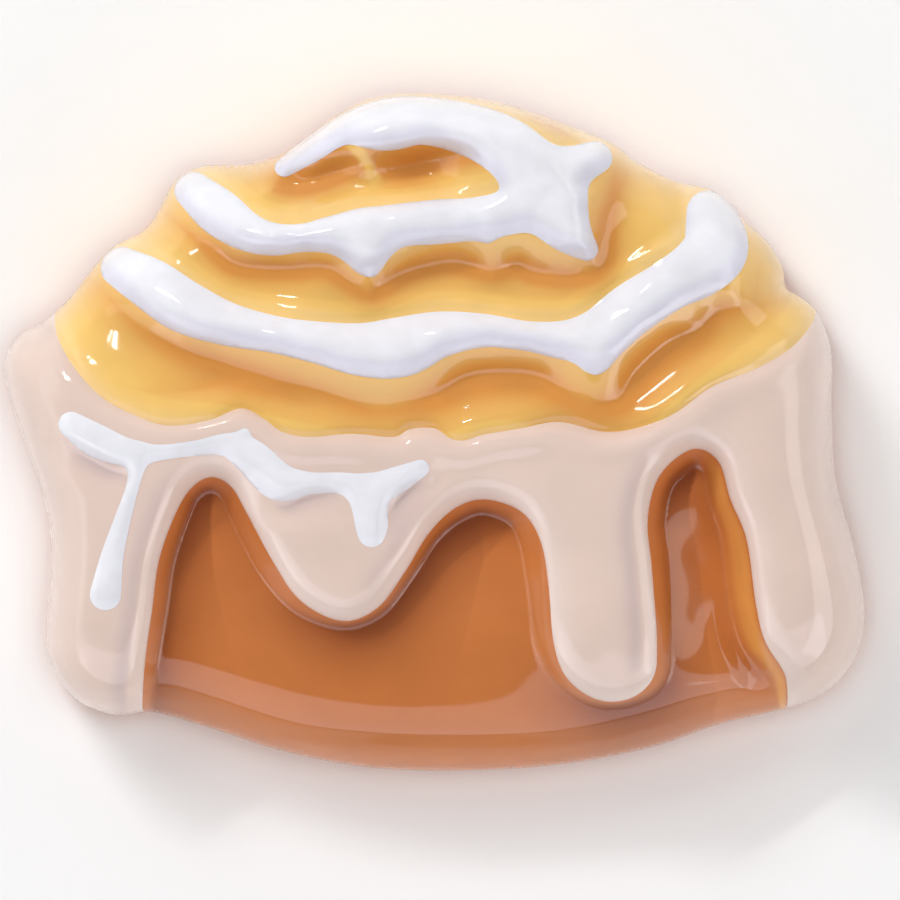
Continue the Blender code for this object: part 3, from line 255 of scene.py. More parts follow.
@in_batches
def inside(p, loop):
    """Whether each point lies inside a closed loop."""
    within = ((p > loop.min(0)) & (p < loop.max(0))).all(1)
    a, b = loop, np.roll(loop, -1, axis=0)
    x, y = p[within, 0, None], p[within, 1, None]
    crosses = (a[:, 1] > y) != (b[:, 1] > y)
    rise = np.where(b[:, 1] == a[:, 1], 1.0, b[:, 1] - a[:, 1])
    at = a[:, 0] + (y - a[:, 1]) / rise * (b[:, 0] - a[:, 0])
    within[within] = (crosses & (x < at)).sum(1) % 2 == 1
    return within


@in_batches
def strand_depth(p, strands):
    """How far inside a ribbon of joined strands each point lies, below zero outside it."""
    depth = []
    for strand in strands:
        run = flow([station[:3] for station in strand], LINE_STEP)
        a, along = run[:-1], run[1:] - run[:-1]
        x, y = p[:, None, 0] - a[:, 0], p[:, None, 1] - a[:, 1]
        share = (x * along[:, 0] + y * along[:, 1]) / (along[:, :2] ** 2).sum(1)
        share = np.clip(share, 0, 1)
        away = np.hypot(x - share * along[:, 0], y - share * along[:, 1])
        depth.append((a[:, 2] + share * along[:, 2] - away).max(1))
    return STRAND_FILLET * np.logaddexp.reduce(np.array(depth) / STRAND_FILLET, axis=0)


@in_batches
def beside(p, stations):
    """Distance from each point to a line, its share of the left side (0 to 1), and the third value."""
    run = flow(stations, LINE_STEP)
    a, along = run[:-1], run[1:] - run[:-1]
    x, y = p[:, None, 0] - a[:, 0], p[:, None, 1] - a[:, 1]
    share = np.clip((x * along[:, 0] + y * along[:, 1]) / (along[:, :2] ** 2).sum(1), 0, 1)
    away = np.hypot(x - share * along[:, 0], y - share * along[:, 1])
    k, row = away.argmin(1), np.arange(len(p))
    turn = (along[k, 0] * y[row, k] - along[k, 1] * x[row, k]) / np.linalg.norm(along[k, :2], axis=1)
    left = 0.5 + 0.5 * turn / (away[row, k] + TINY)
    return np.stack([away[row, k], left, a[k, 2] + share[row, k] * along[k, 2]], -1)


@in_batches
def softly_beside(p, stations):
    """Distance to an open line and its third value, both without a crease between its stretches."""
    run = flow(stations, LINE_STEP)
    a, along = run[:-1, :2], run[1:, :2] - run[:-1, :2]
    length = np.linalg.norm(along, axis=1)
    along /= length[:, None]
    x, y = p[:, None, 0] - a[:, 0], p[:, None, 1] - a[:, 1]
    start = -(x * along[:, 0] + y * along[:, 1])
    off2 = (x * along[:, 1] - y * along[:, 0]) ** 2 + TINY
    end = start + length
    pull = (end / np.sqrt(off2 + end**2) - start / np.sqrt(off2 + start**2)) / off2
    whole = pull.sum(1)
    return np.stack([1 / np.sqrt(whole / 2), pull @ ((run[:-1, 2] + run[1:, 2]) / 2) / whole], -1)


def coil_depth(p):
    """How far inside one of the two ribbons on the coils each point lies."""
    return np.maximum(strand_depth(p, ICING_CURL), strand_depth(p, ICING_ARC))


def above_ribbon(p):
    """Whether a point is just above a ribbon on the coils, from 0 to 1."""
    return np.clip(0.5 + coil_depth(p - ABOVE) / ABOVE_FADE, 0, 1)


def fold(p, stations, near, far):
    """Depth of a crease along a line: steep on the left of its way, and drawn out on the right."""
    left = beside(p, stations)[:, 1]
    away, deep = softly_beside(p, stations).T
    away = np.hypot(away, FOLD_ROUND) - FOLD_ROUND
    steep = np.clip(1 - away / near, 0, 1) ** 2
    t = np.clip(away / far, 0, 1)
    return deep * (steep * left + (1 - t * t * (3 - 2 * t)) * (1 - left))


class Relief:
    """A smooth surface of least bending through points of given height."""

    def __init__(self, points, ease=0.004):
        p = np.array(points, float)
        self.at, n = p[:, :2], len(p)
        bend = self.bend(self.at) + ease * np.eye(n)
        plane = np.hstack([np.ones((n, 1)), self.at])
        system = np.block([[bend, plane], [plane.T, np.zeros((3, 3))]])
        self.weights = np.linalg.solve(system, np.concatenate([p[:, 2], np.zeros(3)]))

    def bend(self, p):
        """How much each point is lifted by each given point, as in a bent plate."""
        r2 = (p[:, None, 0] - self.at[:, 0]) ** 2 + (p[:, None, 1] - self.at[:, 1]) ** 2 + TINY
        return 0.5 * r2 * np.log(r2)

    def height(self, p):
        """Height of the surface at each point."""
        return self.bend(p) @ self.weights[:-3] + self.weights[-3] + p @ self.weights[-2:]

    def __call__(self, p):
        return in_batches(self.height)(p)


def crest_points(strands):
    """Heights along a ribbon: its crest, and a shoulder just below it on each side."""
    points = []
    for strand in strands:
        s = np.array(strand, float)
        ahead = np.gradient(s[:, :2], axis=0)
        ahead /= np.linalg.norm(ahead, axis=1)[:, None]
        across = np.stack([-ahead[:, 1], ahead[:, 0]], -1)
        points += [tuple(row) for row in s[:, [0, 1, 3]]]
        for side in (-1, 1):
            at = s[:, :2] + side * SHOULDER_REACH * s[:, 2:3] * across
            free = strand_depth(at, strands) < SHOULDER_FREE * s[:, 2]
            points += [(x, y, z - SHOULDER_DROP) for (x, y), z, ok in zip(at, s[:, 3], free) if ok]
    return points


def thinned(points, apart=0.3):
    """The points without those that lie almost on an earlier one."""
    kept = []
    for point in points:
        if all(math.dist(point[:2], other[:2]) > apart for other in kept):
            kept.append(point)
    return kept


def ribbon_outline(strands, spacing):
    """The closed outline of a ribbon: a grid raised by its depth is cut at the level of zero."""
    stations = np.array([station[:3] for strand in strands for station in strand])
    low, high = stations[:, :2].min(0) - LEVEL_MARGIN, stations[:, :2].max(0) + LEVEL_MARGIN
    xs, ys = (np.arange(low[k], high[k], LEVEL_GRID) for k in (0, 1))
    grid = np.stack(np.meshgrid(xs, ys, indexing="ij"), -1).reshape(-1, 2)
    bm = bmesh.new()
    verts = [bm.verts.new((x, y, z)) for (x, y), z in zip(grid, strand_depth(grid, strands))]
    n = len(ys)
    for i in range(len(xs) - 1):
        for j in range(n - 1):
            k = i * n + j
            if min(abs(verts[k].co.z), abs(verts[k + n + 1].co.z)) < LEVEL_BAND:
                bm.faces.new((verts[k], verts[k + n], verts[k + n + 1], verts[k + 1]))
    geometry = bm.verts[:] + bm.edges[:] + bm.faces[:]
    level = {"plane_co": (0, 0, 0), "plane_no": (0, 0, 1)}
    bmesh.ops.bisect_plane(bm, geom=geometry, **level, clear_inner=True, clear_outer=True)
    walk = [next(v for v in bm.verts if len(v.link_edges) == 2)]
    edge = walk[0].link_edges[0]
    while edge.other_vert(walk[-1]) is not walk[0]:
        walk.append(edge.other_vert(walk[-1]))
        edge = next(e for e in walk[-1].link_edges if e is not edge)
    loop = np.array([v.co[:2] for v in walk])
    bm.free()
    return flow(loop, spacing, closed=True, count=2)


outline = flow(SILHOUETTE, OUTLINE_STEP, closed=True)
outline_line = np.vstack([outline, outline[:1]])
CENTRE = (outline.min(0) + outline.max(0)) / 2


def seam(points):
    """A seam across the face, ending on two points of the outline."""
    line = flow(points, SEAM_STEP)
    for end in (0, -1):
        line[end] = outline[np.linalg.norm(outline - line[end], axis=1).argmin()]
    return line


rim, hem = seam(RIM), seam([station[:2] for station in HEM])
above_rim = np.vstack([rim, (rim[-1][0], 2 * WIDTH), (rim[0][0], 2 * WIDTH)])
below_hem = np.vstack([hem, (hem[-1][0], -2 * WIDTH), (hem[0][0], -2 * WIDTH)])
face_relief = Relief(thinned(
    crest_points(ICING_CURL) + crest_points(ICING_ARC) + STAR_FACE + EYE_HOLLOW + EYE_FOLD + EYE_STEP
    + MIDDLE_VALLEY + MIDDLE_RISE + OUTER_VALLEY + SIDE_COIL + RIM_CREST + GLAZE_SIDES + GLAZE_DRIPS))
wall_relief = Relief(DOUGH_WALL)


def fade(x, middle, width):
    """A soft step from 0 to 1 as x passes the middle."""
    return 1 / (1 + np.exp((middle - x) / width))


def rolled_edge(p):
    """How far the face has risen from its edge, from 0 at the edge to 1."""
    at_foot = fade(-p[:, 1], *FOOT_ZONE) * fade(-np.abs(p[:, 0] - FOOT_MIDDLE), *FOOT_ENDS)
    at_top = fade(p[:, 1], *TOP_ZONE)
    reach = EDGE_ROLL + (FOOT_ROLL - EDGE_ROLL) * at_foot + (TOP_ROLL - EDGE_ROLL) * at_top
    return np.sqrt(np.tanh(2 * soft_distance(p, outline_line) / reach))


def lip(away):
    """The low rounded lip of the plastic beside a seam."""
    return LIP_HEIGHT * np.exp(-(((away - LIP_AWAY) / LIP_WIDTH) ** 2))


def base_height(p):
    """Height of the face without the beads of icing."""
    to_hem, _, hem_wall = beside(p, HEM).T
    to_hem = np.where(inside(p, below_hem), -to_hem, to_hem)
    share = np.clip((to_hem + hem_wall) / (hem_wall + HEM_ROUND), 0, 1)
    share = share**2 / (share + HEM_FILLET) * (1 + HEM_FILLET)
    cover = 1 - (1 - share) ** HEM_BULGE
    face = face_relief(p) - sum(fold(p, *crease) for crease in FACE_FOLDS)
    wall = wall_relief(p) - sum(fold(p, *crease) for crease in WALL_FOLDS)
    height = wall * (1 - cover) + face * cover
    to_rim = distance(p, rim)
    height += lip(to_rim) - SEAM_GROOVE * np.exp(-((to_rim / SEAM_GROOVE_WIDTH) ** 2))
    height += lip(-coil_depth(p)) * above_ribbon(p)
    return EDGE_HEIGHT + (height - EDGE_HEIGHT) * rolled_edge(p)


def ring(line, offset, closed):
    """The points beside a line, at one distance from it."""
    ahead = np.roll(line, -1, 0) - np.roll(line, 1, 0) if closed else np.gradient(line, axis=0)
    ahead /= np.linalg.norm(ahead, axis=1)[:, None]
    at = line + offset * np.stack([-ahead[:, 1], ahead[:, 0]], -1)
    whole = np.vstack([line, line[:1]]) if closed else line
    return at[distance(at, whole) > abs(offset) * RING_CLEARANCE]


def ring_beside(stations):
    """The points on the right of a line, each as far from it as the line's third value there."""
    run = flow(stations, FINE)
    ahead = np.gradient(run[:, :2], axis=0)
    ahead /= np.linalg.norm(ahead, axis=1)[:, None]
    at = run[:, :2] + run[:, 2:] * np.stack([ahead[:, 1], -ahead[:, 0]], -1)
    return at[distance(at, run[:, :2]) > run[:, 2] * HEM_RING_CLEARANCE]


ribbons = {"curl": ICING_CURL, "arc": ICING_ARC, "drizzle": ICING_DRIZZLE}
ribbon_loops = {name: ribbon_outline(strands, RIBBON_STEP) for name, strands in ribbons.items()}
EDGE_STEPS = 5
EDGE_STEP_ANGLE = math.radians(12)
edge_rings = [EDGE_ROLL * (1 - math.cos(EDGE_STEP_ANGLE * (k + 1))) for k in range(EDGE_STEPS)]


def clear_of(placed, row, gap):
    """The points of a row that keep a gap from the points already placed."""
    tree = KDTree(len(placed))
    for i, (x, y) in enumerate(placed):
        tree.insert((x, y, 0), i)
    tree.balance()
    return [(x, y) for x, y in row.tolist() if tree.find((x, y, 0))[2] > gap]


def face_mesh():
    """One flat triangle mesh of the whole face, with every seam in it, and the region of each triangle."""
    points = outline.tolist()
    count = len(points)
    edges = [(i, (i + 1) % count) for i in range(count)]
    for loop in ribbon_loops.values():
        first, n = len(points), len(loop)
        points += loop.tolist()
        edges += [(first + i, first + (i + 1) % n) for i in range(n)]
    for line in (rim, hem):
        ends = [int(np.linalg.norm(outline - line[end], axis=1).argmin()) for end in (0, -1)]
        first, n = len(points), len(line) - 2
        points += line[1:-1].tolist()
        chain = [ends[0], *range(first, first + n), ends[1]]
        edges += list(zip(chain[:-1], chain[1:]))
    turn = -1 if signed_area(outline) < 0 else 1
    rings = [ring(outline, turn * offset, True) for offset in edge_rings]
    creases = [flow(stations, FINE)[:, :2] for stations, *_ in FACE_FOLDS + WALL_FOLDS]
    rise = FINE * math.sqrt(3) / 2
    i, j = np.meshgrid(np.arange(round(LATTICE_SIZE[0] / FINE)), np.arange(round(LATTICE_SIZE[1] / rise)))
    lattice = np.stack([FINE * (i + 0.5 * (j % 2)), rise * j], -1).reshape(-1, 2) + LATTICE_CORNER
    lattice = lattice[inside(lattice, outline)]
    seam_points = points[len(outline):]
    for row in rings:
        points += clear_of(seam_points, row[inside(row, outline)], CLEARANCE)
    for row in (ring_beside(HEM), *creases, lattice):
        points += clear_of(points, row[inside(row, outline)], CLEARANCE)
    flat, _, faces, *_ = delaunay_2d_cdt([Vector(p) for p in points], edges, [], 0, 1e-6)
    flat, faces = np.array([tuple(v) for v in flat]), np.array([tuple(f) for f in faces])
    middle = flat[faces].mean(1)
    within = inside(middle, outline)
    faces, middle = faces[within], middle[within]
    a, b, c = flat[faces[:, 0]], flat[faces[:, 1]], flat[faces[:, 2]]
    side = (b - a)[:, 0] * (c - a)[:, 1] - (b - a)[:, 1] * (c - a)[:, 0]
    faces[side < 0] = faces[side < 0][:, ::-1]
    region = np.full(len(faces), "glaze", dtype="<U8")
    region[inside(middle, above_rim)] = "swirl"
    region[inside(middle, below_hem)] = "dough"
    for name, loop in ribbon_loops.items():
        region[inside(middle, loop)] = name
    return flat, faces, region


def signed_area(loop):
    """The area of a closed loop, above zero where it runs anticlockwise."""
    x, y = loop[:, 0], loop[:, 1]
    return 0.5 * (x * np.roll(y, -1) - np.roll(x, -1) * y).sum()


def border(faces):
    """The edges that only one of the triangles has, as a step from each vertex to the next."""
    steps = {(f[i], f[(i + 1) % 3]) for f in faces.tolist() for i in range(3)}
    return {a: b for a, b in steps if (b, a) not in steps}


def walk_round(steps):
    """The vertices of a closed border, in order."""
    start = next(iter(steps))
    loop = [start]
    while steps[loop[-1]] != start:
        loop.append(steps[loop[-1]])
    return loop


flat, faces, region = face_mesh()
base = base_height(flat)


TONE_FALL = 2.5


def painted_crease_shade(stations, near, far):
    """How deep in a crease each vertex lies, for the painted shade of the plastic there."""
    left = beside(flat, stations)[:, 1]
    away, deep = softly_beside(flat, stations).T
    return deep * np.exp(-TONE_FALL * away / (near * left + far * (1 - left)))


def cast(name, terraces, under, plastic, painted_shade_and_light, chamfer=0.0):
    """A closed piece from terraces of the face, each a set of regions with the height of every vertex.

    A terrace or an underside whose height is a number is one flat face.
    """
    groups = [faces[np.isin(region, names)] for names, _ in terraces]
    loop = walk_round(border(np.vstack(groups)))
    bm = bmesh.new()
    # Each vertex keeps how much painted shade (above zero) or painted light (below zero) its plastic gets.
    depth = bm.verts.layers.float.new("painted_shade_and_light")
    columns = {}

    def level(rank, height, used):
        """One level of vertices, at a flat height or at the height of the face."""
        for v in sorted(used):
            top = height if isinstance(height, float) else height[v]
            x, y = (flat[v] - CENTRE) * FIT
            vert = bm.verts.new((x * MM, y * MM, top * MM))
            vert[depth] = painted_shade_and_light[v]
            columns.setdefault(v, {})[rank] = vert

    def wall(a, b, low, high):
        """A wall between two levels over one edge, with the levels between them as corners too."""
        sides = []
        for v in (a, b):
            stack = sorted(columns[v].values(), key=lambda vert: vert.co.z)
            sides.append(stack[stack.index(columns[v][low]):stack.index(columns[v][high]) + 1])
        left, right = sides
        for lower, upper in zip(right[:-1], right[1:]):
            bm.faces.new((left[0], lower, upper))
        for lower, upper in zip(left[:-1], left[1:]):
            bm.faces.new((lower, right[-1], upper))

    borders = []
    for rank, ((_, height), group) in enumerate(zip(terraces, groups)):
        edge = border(group)
        borders.append(edge)
        if isinstance(height, float):
            level(rank, height, edge)
            bm.faces.new([columns[v][rank] for v in walk_round(edge)])
        else:
            level(rank, height, set(group.ravel().tolist()))
            for face in group.tolist():
                bm.faces.new([columns[v][rank] for v in face])
    if isinstance(under, float):
        level(-1, under, loop)
        foot = [columns[v][-1] for v in loop]
        if chamfer:
            ahead = np.roll(flat[loop], -2, 0) - np.roll(flat[loop], 2, 0)
            ahead /= np.linalg.norm(ahead, axis=1)[:, None]
            inset = (flat[loop] + chamfer * np.stack([-ahead[:, 1], ahead[:, 0]], -1) - CENTRE) * FIT
            upper, foot = foot, [bm.verts.new((x * MM, y * MM, 0.0)) for x, y in inset]
            for i in range(len(foot)):
                j = (i + 1) % len(foot)
                bm.faces.new((foot[i], foot[j], upper[j], upper[i]))
        bm.faces.new(foot[::-1])
    else:
        whole = np.vstack(groups)
        level(-1, under, set(whole.ravel().tolist()))
        for face in whole.tolist():
            bm.faces.new([columns[v][-1] for v in face[::-1]])
    for rank, edge in enumerate(borders):
        for a, b in edge.items():
            other = next((r for r, e in enumerate(borders) if r != rank and e.get(b) == a), None)
            if other is None:
                wall(a, b, -1, rank)
            elif columns[a][rank].co.z > columns[a][other].co.z:
                wall(a, b, other, rank)
    mesh = bpy.data.meshes.new(name)
    bm.to_mesh(mesh)
    bm.free()
    mesh.shade_smooth()
    mesh.set_sharp_from_angle(angle=SHARP_ANGLE)
    mesh.materials.append(plastic)
    piece = bpy.data.objects.new(name, mesh)
    bpy.context.scene.collection.objects.link(piece)
    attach(piece, "root")
    return piece


# The icing. Three ribbons of white plastic go into the mould first: a curl round the eye of the
# roll, an arc along the outer coil, and a thin drizzle on the glaze. Each is a bead with round edges.
ICING_BEAD = 0.16
ICING_ROUND = 0.6
ICING_EDGE_SHARE = 0.12
BED_DEPTH = 0.3
BED_PLAY = 0.02
# Painted shade: the lower edge of each ribbon, which faces down, turns a lavender grey, less so on the
# drizzle.
LOWER_EDGE = np.array([-0.1, 0.4])
LOWER_EDGE_FADE = 0.6
LOWER_EDGE_PAINTED_SHADE = 0.8
DRIZZLE_PAINTED_SHADE_SHARE = 0.3
ICING_WHITE = (0.87, 0.87, 0.92)
ICING_PAINTED_SHADE = (0.73, 0.72, 0.83)


def moulding_marks():
    """A node group for the marks of the mould: soft clouds of tone, uneven gloss and a faint waviness."""
    group = bpy.data.node_groups.new("moulding marks", "ShaderNodeTree")
    sockets = group.interface
    for name, value in (("Cloud Size", 900.0), ("Wave Size", 700.0)):
        sockets.new_socket(name, in_out="INPUT", socket_type="NodeSocketFloat").default_value = value
    for name in ("Cloud", "Gloss", "Wave"):
        sockets.new_socket(name, in_out="OUTPUT", socket_type="NodeSocketFloat")
    nodes, links = group.nodes, group.links
    inputs, outputs = nodes.new("NodeGroupInput"), nodes.new("NodeGroupOutput")
    place = nodes.new("ShaderNodeTexCoord")
    for name, size, detail, scale in (("Cloud", "Cloud Size", 3.0, 1.0), ("Gloss", "Cloud Size", 5.0, 2.3),
                                      ("Wave", "Wave Size", 1.0, 1.0)):
        noise = nodes.new("ShaderNodeTexNoise")
        noise.inputs["Detail"].default_value = detail
        finer = nodes.new("ShaderNodeMath")
        finer.operation = "MULTIPLY"
        finer.inputs[1].default_value = scale
        links.new(inputs.outputs[size], finer.inputs[0])
        links.new(finer.outputs[0], noise.inputs["Scale"])
        links.new(place.outputs["Object"], noise.inputs["Vector"])
        links.new(noise.outputs["Fac"], outputs.inputs[name])
    return group


def groove_shade():
    """A node group for painted shade and light: a colour deeper in the hollows of the face and paler on its
    crests.
    """
    group = bpy.data.node_groups.new("groove wash", "ShaderNodeTree")
    sockets = group.interface
    for name in ("Colour", "Deep Colour", "Pale Colour"):
        sockets.new_socket(name, in_out="INPUT", socket_type="NodeSocketColor")
    for name, value in (("From", 0.0), ("To", 0.5), ("Cloud", 0.5), ("Unevenness", 0.1)):
        sockets.new_socket(name, in_out="INPUT", socket_type="NodeSocketFloat").default_value = value
    sockets.new_socket("Colour", in_out="OUTPUT", socket_type="NodeSocketColor")
    nodes, links = group.nodes, group.links
    inputs, outputs = nodes.new("NodeGroupInput"), nodes.new("NodeGroupOutput")
    depth = nodes.new("ShaderNodeAttribute")
    depth.attribute_name = "painted_shade_and_light"
    uneven = nodes.new("ShaderNodeMath")
    uneven.operation = "MULTIPLY_ADD"
    links.new(inputs.outputs["Cloud"], uneven.inputs[0])
    links.new(inputs.outputs["Unevenness"], uneven.inputs[1])
    links.new(depth.outputs["Fac"], uneven.inputs[2])
    amount = nodes.new("ShaderNodeMapRange")
    amount.interpolation_type = "SMOOTHSTEP"
    links.new(uneven.outputs[0], amount.inputs["Value"])
    links.new(inputs.outputs["From"], amount.inputs["From Min"])
    links.new(inputs.outputs["To"], amount.inputs["From Max"])
    crest = nodes.new("ShaderNodeMapRange")
    crest.interpolation_type = "SMOOTHSTEP"
    crest.inputs["From Max"].default_value = -1.0
    links.new(depth.outputs["Fac"], crest.inputs["Value"])
    lighter, mix = nodes.new("ShaderNodeMix"), nodes.new("ShaderNodeMix")
    lighter.data_type = mix.data_type = "RGBA"
    links.new(crest.outputs[0], lighter.inputs["Factor"])
    links.new(inputs.outputs["Colour"], lighter.inputs[6])
    links.new(inputs.outputs["Pale Colour"], lighter.inputs[7])
    links.new(amount.outputs[0], mix.inputs["Factor"])
    links.new(lighter.outputs[2], mix.inputs[6])
    links.new(inputs.outputs["Deep Colour"], mix.inputs[7])
    links.new(mix.outputs[2], outputs.inputs["Colour"])
    return group


marks_group, shade_group = moulding_marks(), groove_shade()


PLASTIC_IOR = 1.5
GLOSS = (0.05, 0.11)
CLOUD_RANGE = (0.3, 0.7)
CLOUD_TONES = (0.94, 1.03)
WAVE_STRENGTH = 0.25
WAVE_HEIGHT = 0.03 * MM


def plastic(name, colour, deep, pale, deepest, cloud_size=900.0):
    """A glossy moulded plastic, with painted shade, a deeper tone, in the hollows of the face and painted
    light, a paler one, on crests.
    """
    material = bpy.data.materials.new(name)
    material.use_nodes = True
    nodes, links = material.node_tree.nodes, material.node_tree.links
    shader = nodes["Principled BSDF"]
    shader.inputs["IOR"].default_value = PLASTIC_IOR
    marks = nodes.new("ShaderNodeGroup")
    marks.node_tree = marks_group
    marks.inputs["Cloud Size"].default_value = cloud_size
    shade = nodes.new("ShaderNodeGroup")
    shade.node_tree = shade_group
    shade.inputs["Colour"].default_value = (*colour, 1)
    shade.inputs["Deep Colour"].default_value = (*deep, 1)
    shade.inputs["Pale Colour"].default_value = (*pale, 1)
    shade.inputs["To"].default_value = deepest
    links.new(marks.outputs["Cloud"], shade.inputs["Cloud"])
    tone = nodes.new("ShaderNodeMix")
    tone.data_type = "RGBA"
    tone.blend_type = "MULTIPLY"
    tone.inputs["Factor"].default_value = 1.0
    clouds = nodes.new("ShaderNodeMapRange")
    clouds.inputs["From Min"].default_value, clouds.inputs["From Max"].default_value = CLOUD_RANGE
    clouds.inputs["To Min"].default_value, clouds.inputs["To Max"].default_value = CLOUD_TONES
    links.new(marks.outputs["Cloud"], clouds.inputs["Value"])
    links.new(shade.outputs["Colour"], tone.inputs[6])
    links.new(clouds.outputs[0], tone.inputs[7])
    links.new(tone.outputs[2], shader.inputs["Base Color"])
    gloss = nodes.new("ShaderNodeMapRange")
    gloss.inputs["To Min"].default_value, gloss.inputs["To Max"].default_value = GLOSS
    links.new(marks.outputs["Gloss"], gloss.inputs["Value"])
    links.new(gloss.outputs[0], shader.inputs["Roughness"])
    bump = nodes.new("ShaderNodeBump")
    bump.inputs["Strength"].default_value = WAVE_STRENGTH
    bump.inputs["Distance"].default_value = WAVE_HEIGHT
    links.new(marks.outputs["Wave"], bump.inputs["Height"])
    links.new(bump.outputs[0], shader.inputs["Normal"])
    return material


white_plastic = plastic("white icing plastic", ICING_WHITE, ICING_PAINTED_SHADE, ICING_WHITE, deepest=1.0)
depth = np.max([strand_depth(flat, strands) for strands in ribbons.values()], axis=0)
# Painted shade along the lower edge of each ribbon, less of it on the drizzle.
to_lower_edge = np.max([strand_depth(flat - LOWER_EDGE, strands) for strands in ribbons.values()], axis=0)
painted_lower_edge_shade = LOWER_EDGE_PAINTED_SHADE * (1 - np.clip(to_lower_edge / LOWER_EDGE_FADE, 0, 1))
painted_lower_edge_shade[strand_depth(flat, ICING_DRIZZLE) > -FINE] *= DRIZZLE_PAINTED_SHADE_SHARE
bead_share = np.clip(depth / ICING_ROUND, 0, 1)
icing_top = base + ICING_BEAD * (1 - (1 - ICING_EDGE_SHARE) * (1 - bead_share) ** 2)
bed = base - BED_DEPTH
for node, name in (("icing_curl", "curl"), ("icing_arc", "arc"), ("icing_drizzle", "drizzle")):
    ribbon = cast(f"{name}_ribbon", [([name], icing_top)], bed + BED_PLAY, white_plastic, painted_lower_edge_shade)
    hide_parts(node)

# The swirl. Golden plastic over the coils of the roll, with painted shade, a deeper orange, in the risers
# and the hollows, and painted light, a paler gold, on the crests. It takes the shape of the mould round the
# icing, which lies in beds in it.
COLUMN_FOOT = 0.82
SWIRL_GOLD = (0.89, 0.555, 0.155)
SWIRL_PAINTED_SHADE = (0.74, 0.31, 0.07)
SWIRL_PAINTED_LIGHT = (0.97, 0.65, 0.25)
EYE_RIDGE = [(-2.95, 10.5), (-2.6, 10.0), (-2.2, 9.4)]
RIDGE_WIDTH = 0.25
RIDGE_PAINTED_LIGHT = 0.5
CREST_WIDTH = 0.9
TONED = 0.12
# Lines of painted shade to the right of the star and under the top edge.
STAR_SHADE = [(6.7, 9.8, 0.15), (6.6, 9.0, 0.28), (6.4, 8.0, 0.35), (6.15, 7.0, 0.35), (6.3, 6.2, 0.2)]
TOP_SHADE = [(3.2, 11.8, 0.1), (4.3, 11.25, 0.28), (5.2, 10.7, 0.1)]
GOLD_PAINTED_SHADES = [(CURL_FOOT, 1.1, 1.1), (ARC_FOOT, 1.4, 2.2), (EYE_FOOT, 2.6, 0.9), (BOWL_FOLD, 1.0, 1.0),
              (SIDE_FOLD, 0.6, 0.6), (STAR_SHADE, 1.3, 1.3), (TOP_SHADE, 0.6, 0.6)]
gold_plastic = plastic("golden swirl plastic", SWIRL_GOLD, SWIRL_PAINTED_SHADE, SWIRL_PAINTED_LIGHT, deepest=0.5,
                       cloud_size=450.0)
# Painted light on the crests by the rim, just above the ribbons and on the ridge in the eye; painted shade
# in the creases.
crests = np.exp(-((distance(flat, rim) / CREST_WIDTH) ** 2)) + above_ribbon(flat)
gold_painted_shade_and_light = sum(painted_crease_shade(*tone) for tone in GOLD_PAINTED_SHADES)
gold_painted_shade_and_light -= RIDGE_PAINTED_LIGHT * np.exp(-((distance(flat, flow(EYE_RIDGE, LINE_STEP)) / RIDGE_WIDTH) ** 2))
painted_crest_light = np.minimum(crests, 1) * (1 - gold_painted_shade_and_light / TONED)
gold_painted_shade_and_light = np.where(gold_painted_shade_and_light > TONED, gold_painted_shade_and_light, gold_painted_shade_and_light - painted_crest_light)
swirl_terraces = [(["swirl"], base), (["curl"], bed), (["arc"], bed)]
swirl = cast("swirl", swirl_terraces, COLUMN_FOOT, gold_plastic, gold_painted_shade_and_light)
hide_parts("swirl_top")

# The glaze. Cream plastic hangs over the side of the roll in four drips, and goes round both ends
# of it down to the foot. The thin drizzle of icing lies in a bed in it.
# Painted shade in the folds under the drizzle and on the slopes that face right, away from the lamp, next to
# a window; the glaze is lighter near the hem.
GLAZE_CREAM = (0.81, 0.63, 0.55)
GLAZE_PAINTED_SHADE = (0.62, 0.48, 0.47)
GLAZE_PALE = (0.84, 0.69, 0.63)
CREAM_PAINTED_SHADES = [(DRIZZLE_FOOT, 0.8, 1.0), (DRIP_FOLD, 0.8, 1.0), (DRIZZLE_SIDE, 0.8, 1.0)]
FAR_SIDE = 0.8
FAR_SIDE_WIDTH = 0.5
FAR_SIDE_PAINTED_SHADE = 0.25
HEM_PALE_WIDTH = 0.8
HEM_PALE_TONE = 0.8
NUDGE = 0.05
cream_plastic = plastic("cream glaze plastic", GLAZE_CREAM, GLAZE_PAINTED_SHADE, GLAZE_PALE, deepest=0.5,
                        cloud_size=300.0)
to_hem, _, hem_wall = beside(flat, HEM).T
towards = [(to_hem - beside(flat + step, HEM)[:, 0]) / NUDGE for step in ((NUDGE, 0.0), (0.0, NUDGE))]
# Painted shade on the slopes of the glaze that fall to the right into a window.
shaded_far_side = np.clip(towards[0], 0, 1) * np.exp(-(((to_hem - FAR_SIDE) / FAR_SIDE_WIDTH) ** 2))
cream_painted_shade_and_pale_hem = sum(painted_crease_shade(*tone) for tone in CREAM_PAINTED_SHADES)
cream_painted_shade_and_pale_hem += FAR_SIDE_PAINTED_SHADE * shaded_far_side
cream_painted_shade_and_pale_hem -= HEM_PALE_TONE * np.exp(-((to_hem / HEM_PALE_WIDTH) ** 2)) * (1 - shaded_far_side)
glaze = cast("glaze", [(["glaze"], base), (["drizzle"], bed)], COLUMN_FOOT, cream_plastic, cream_painted_shade_and_pale_hem)
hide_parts("glaze_skirt")

# The dough. Brown plastic fills the mould last: it is the wall of the roll between the drips, the
# shoulder round each drip, the bottom lip, and the plate with the flat back that carries the rest.
PLATE_THICKNESS = 0.8
BACK_CHAMFER = 0.25
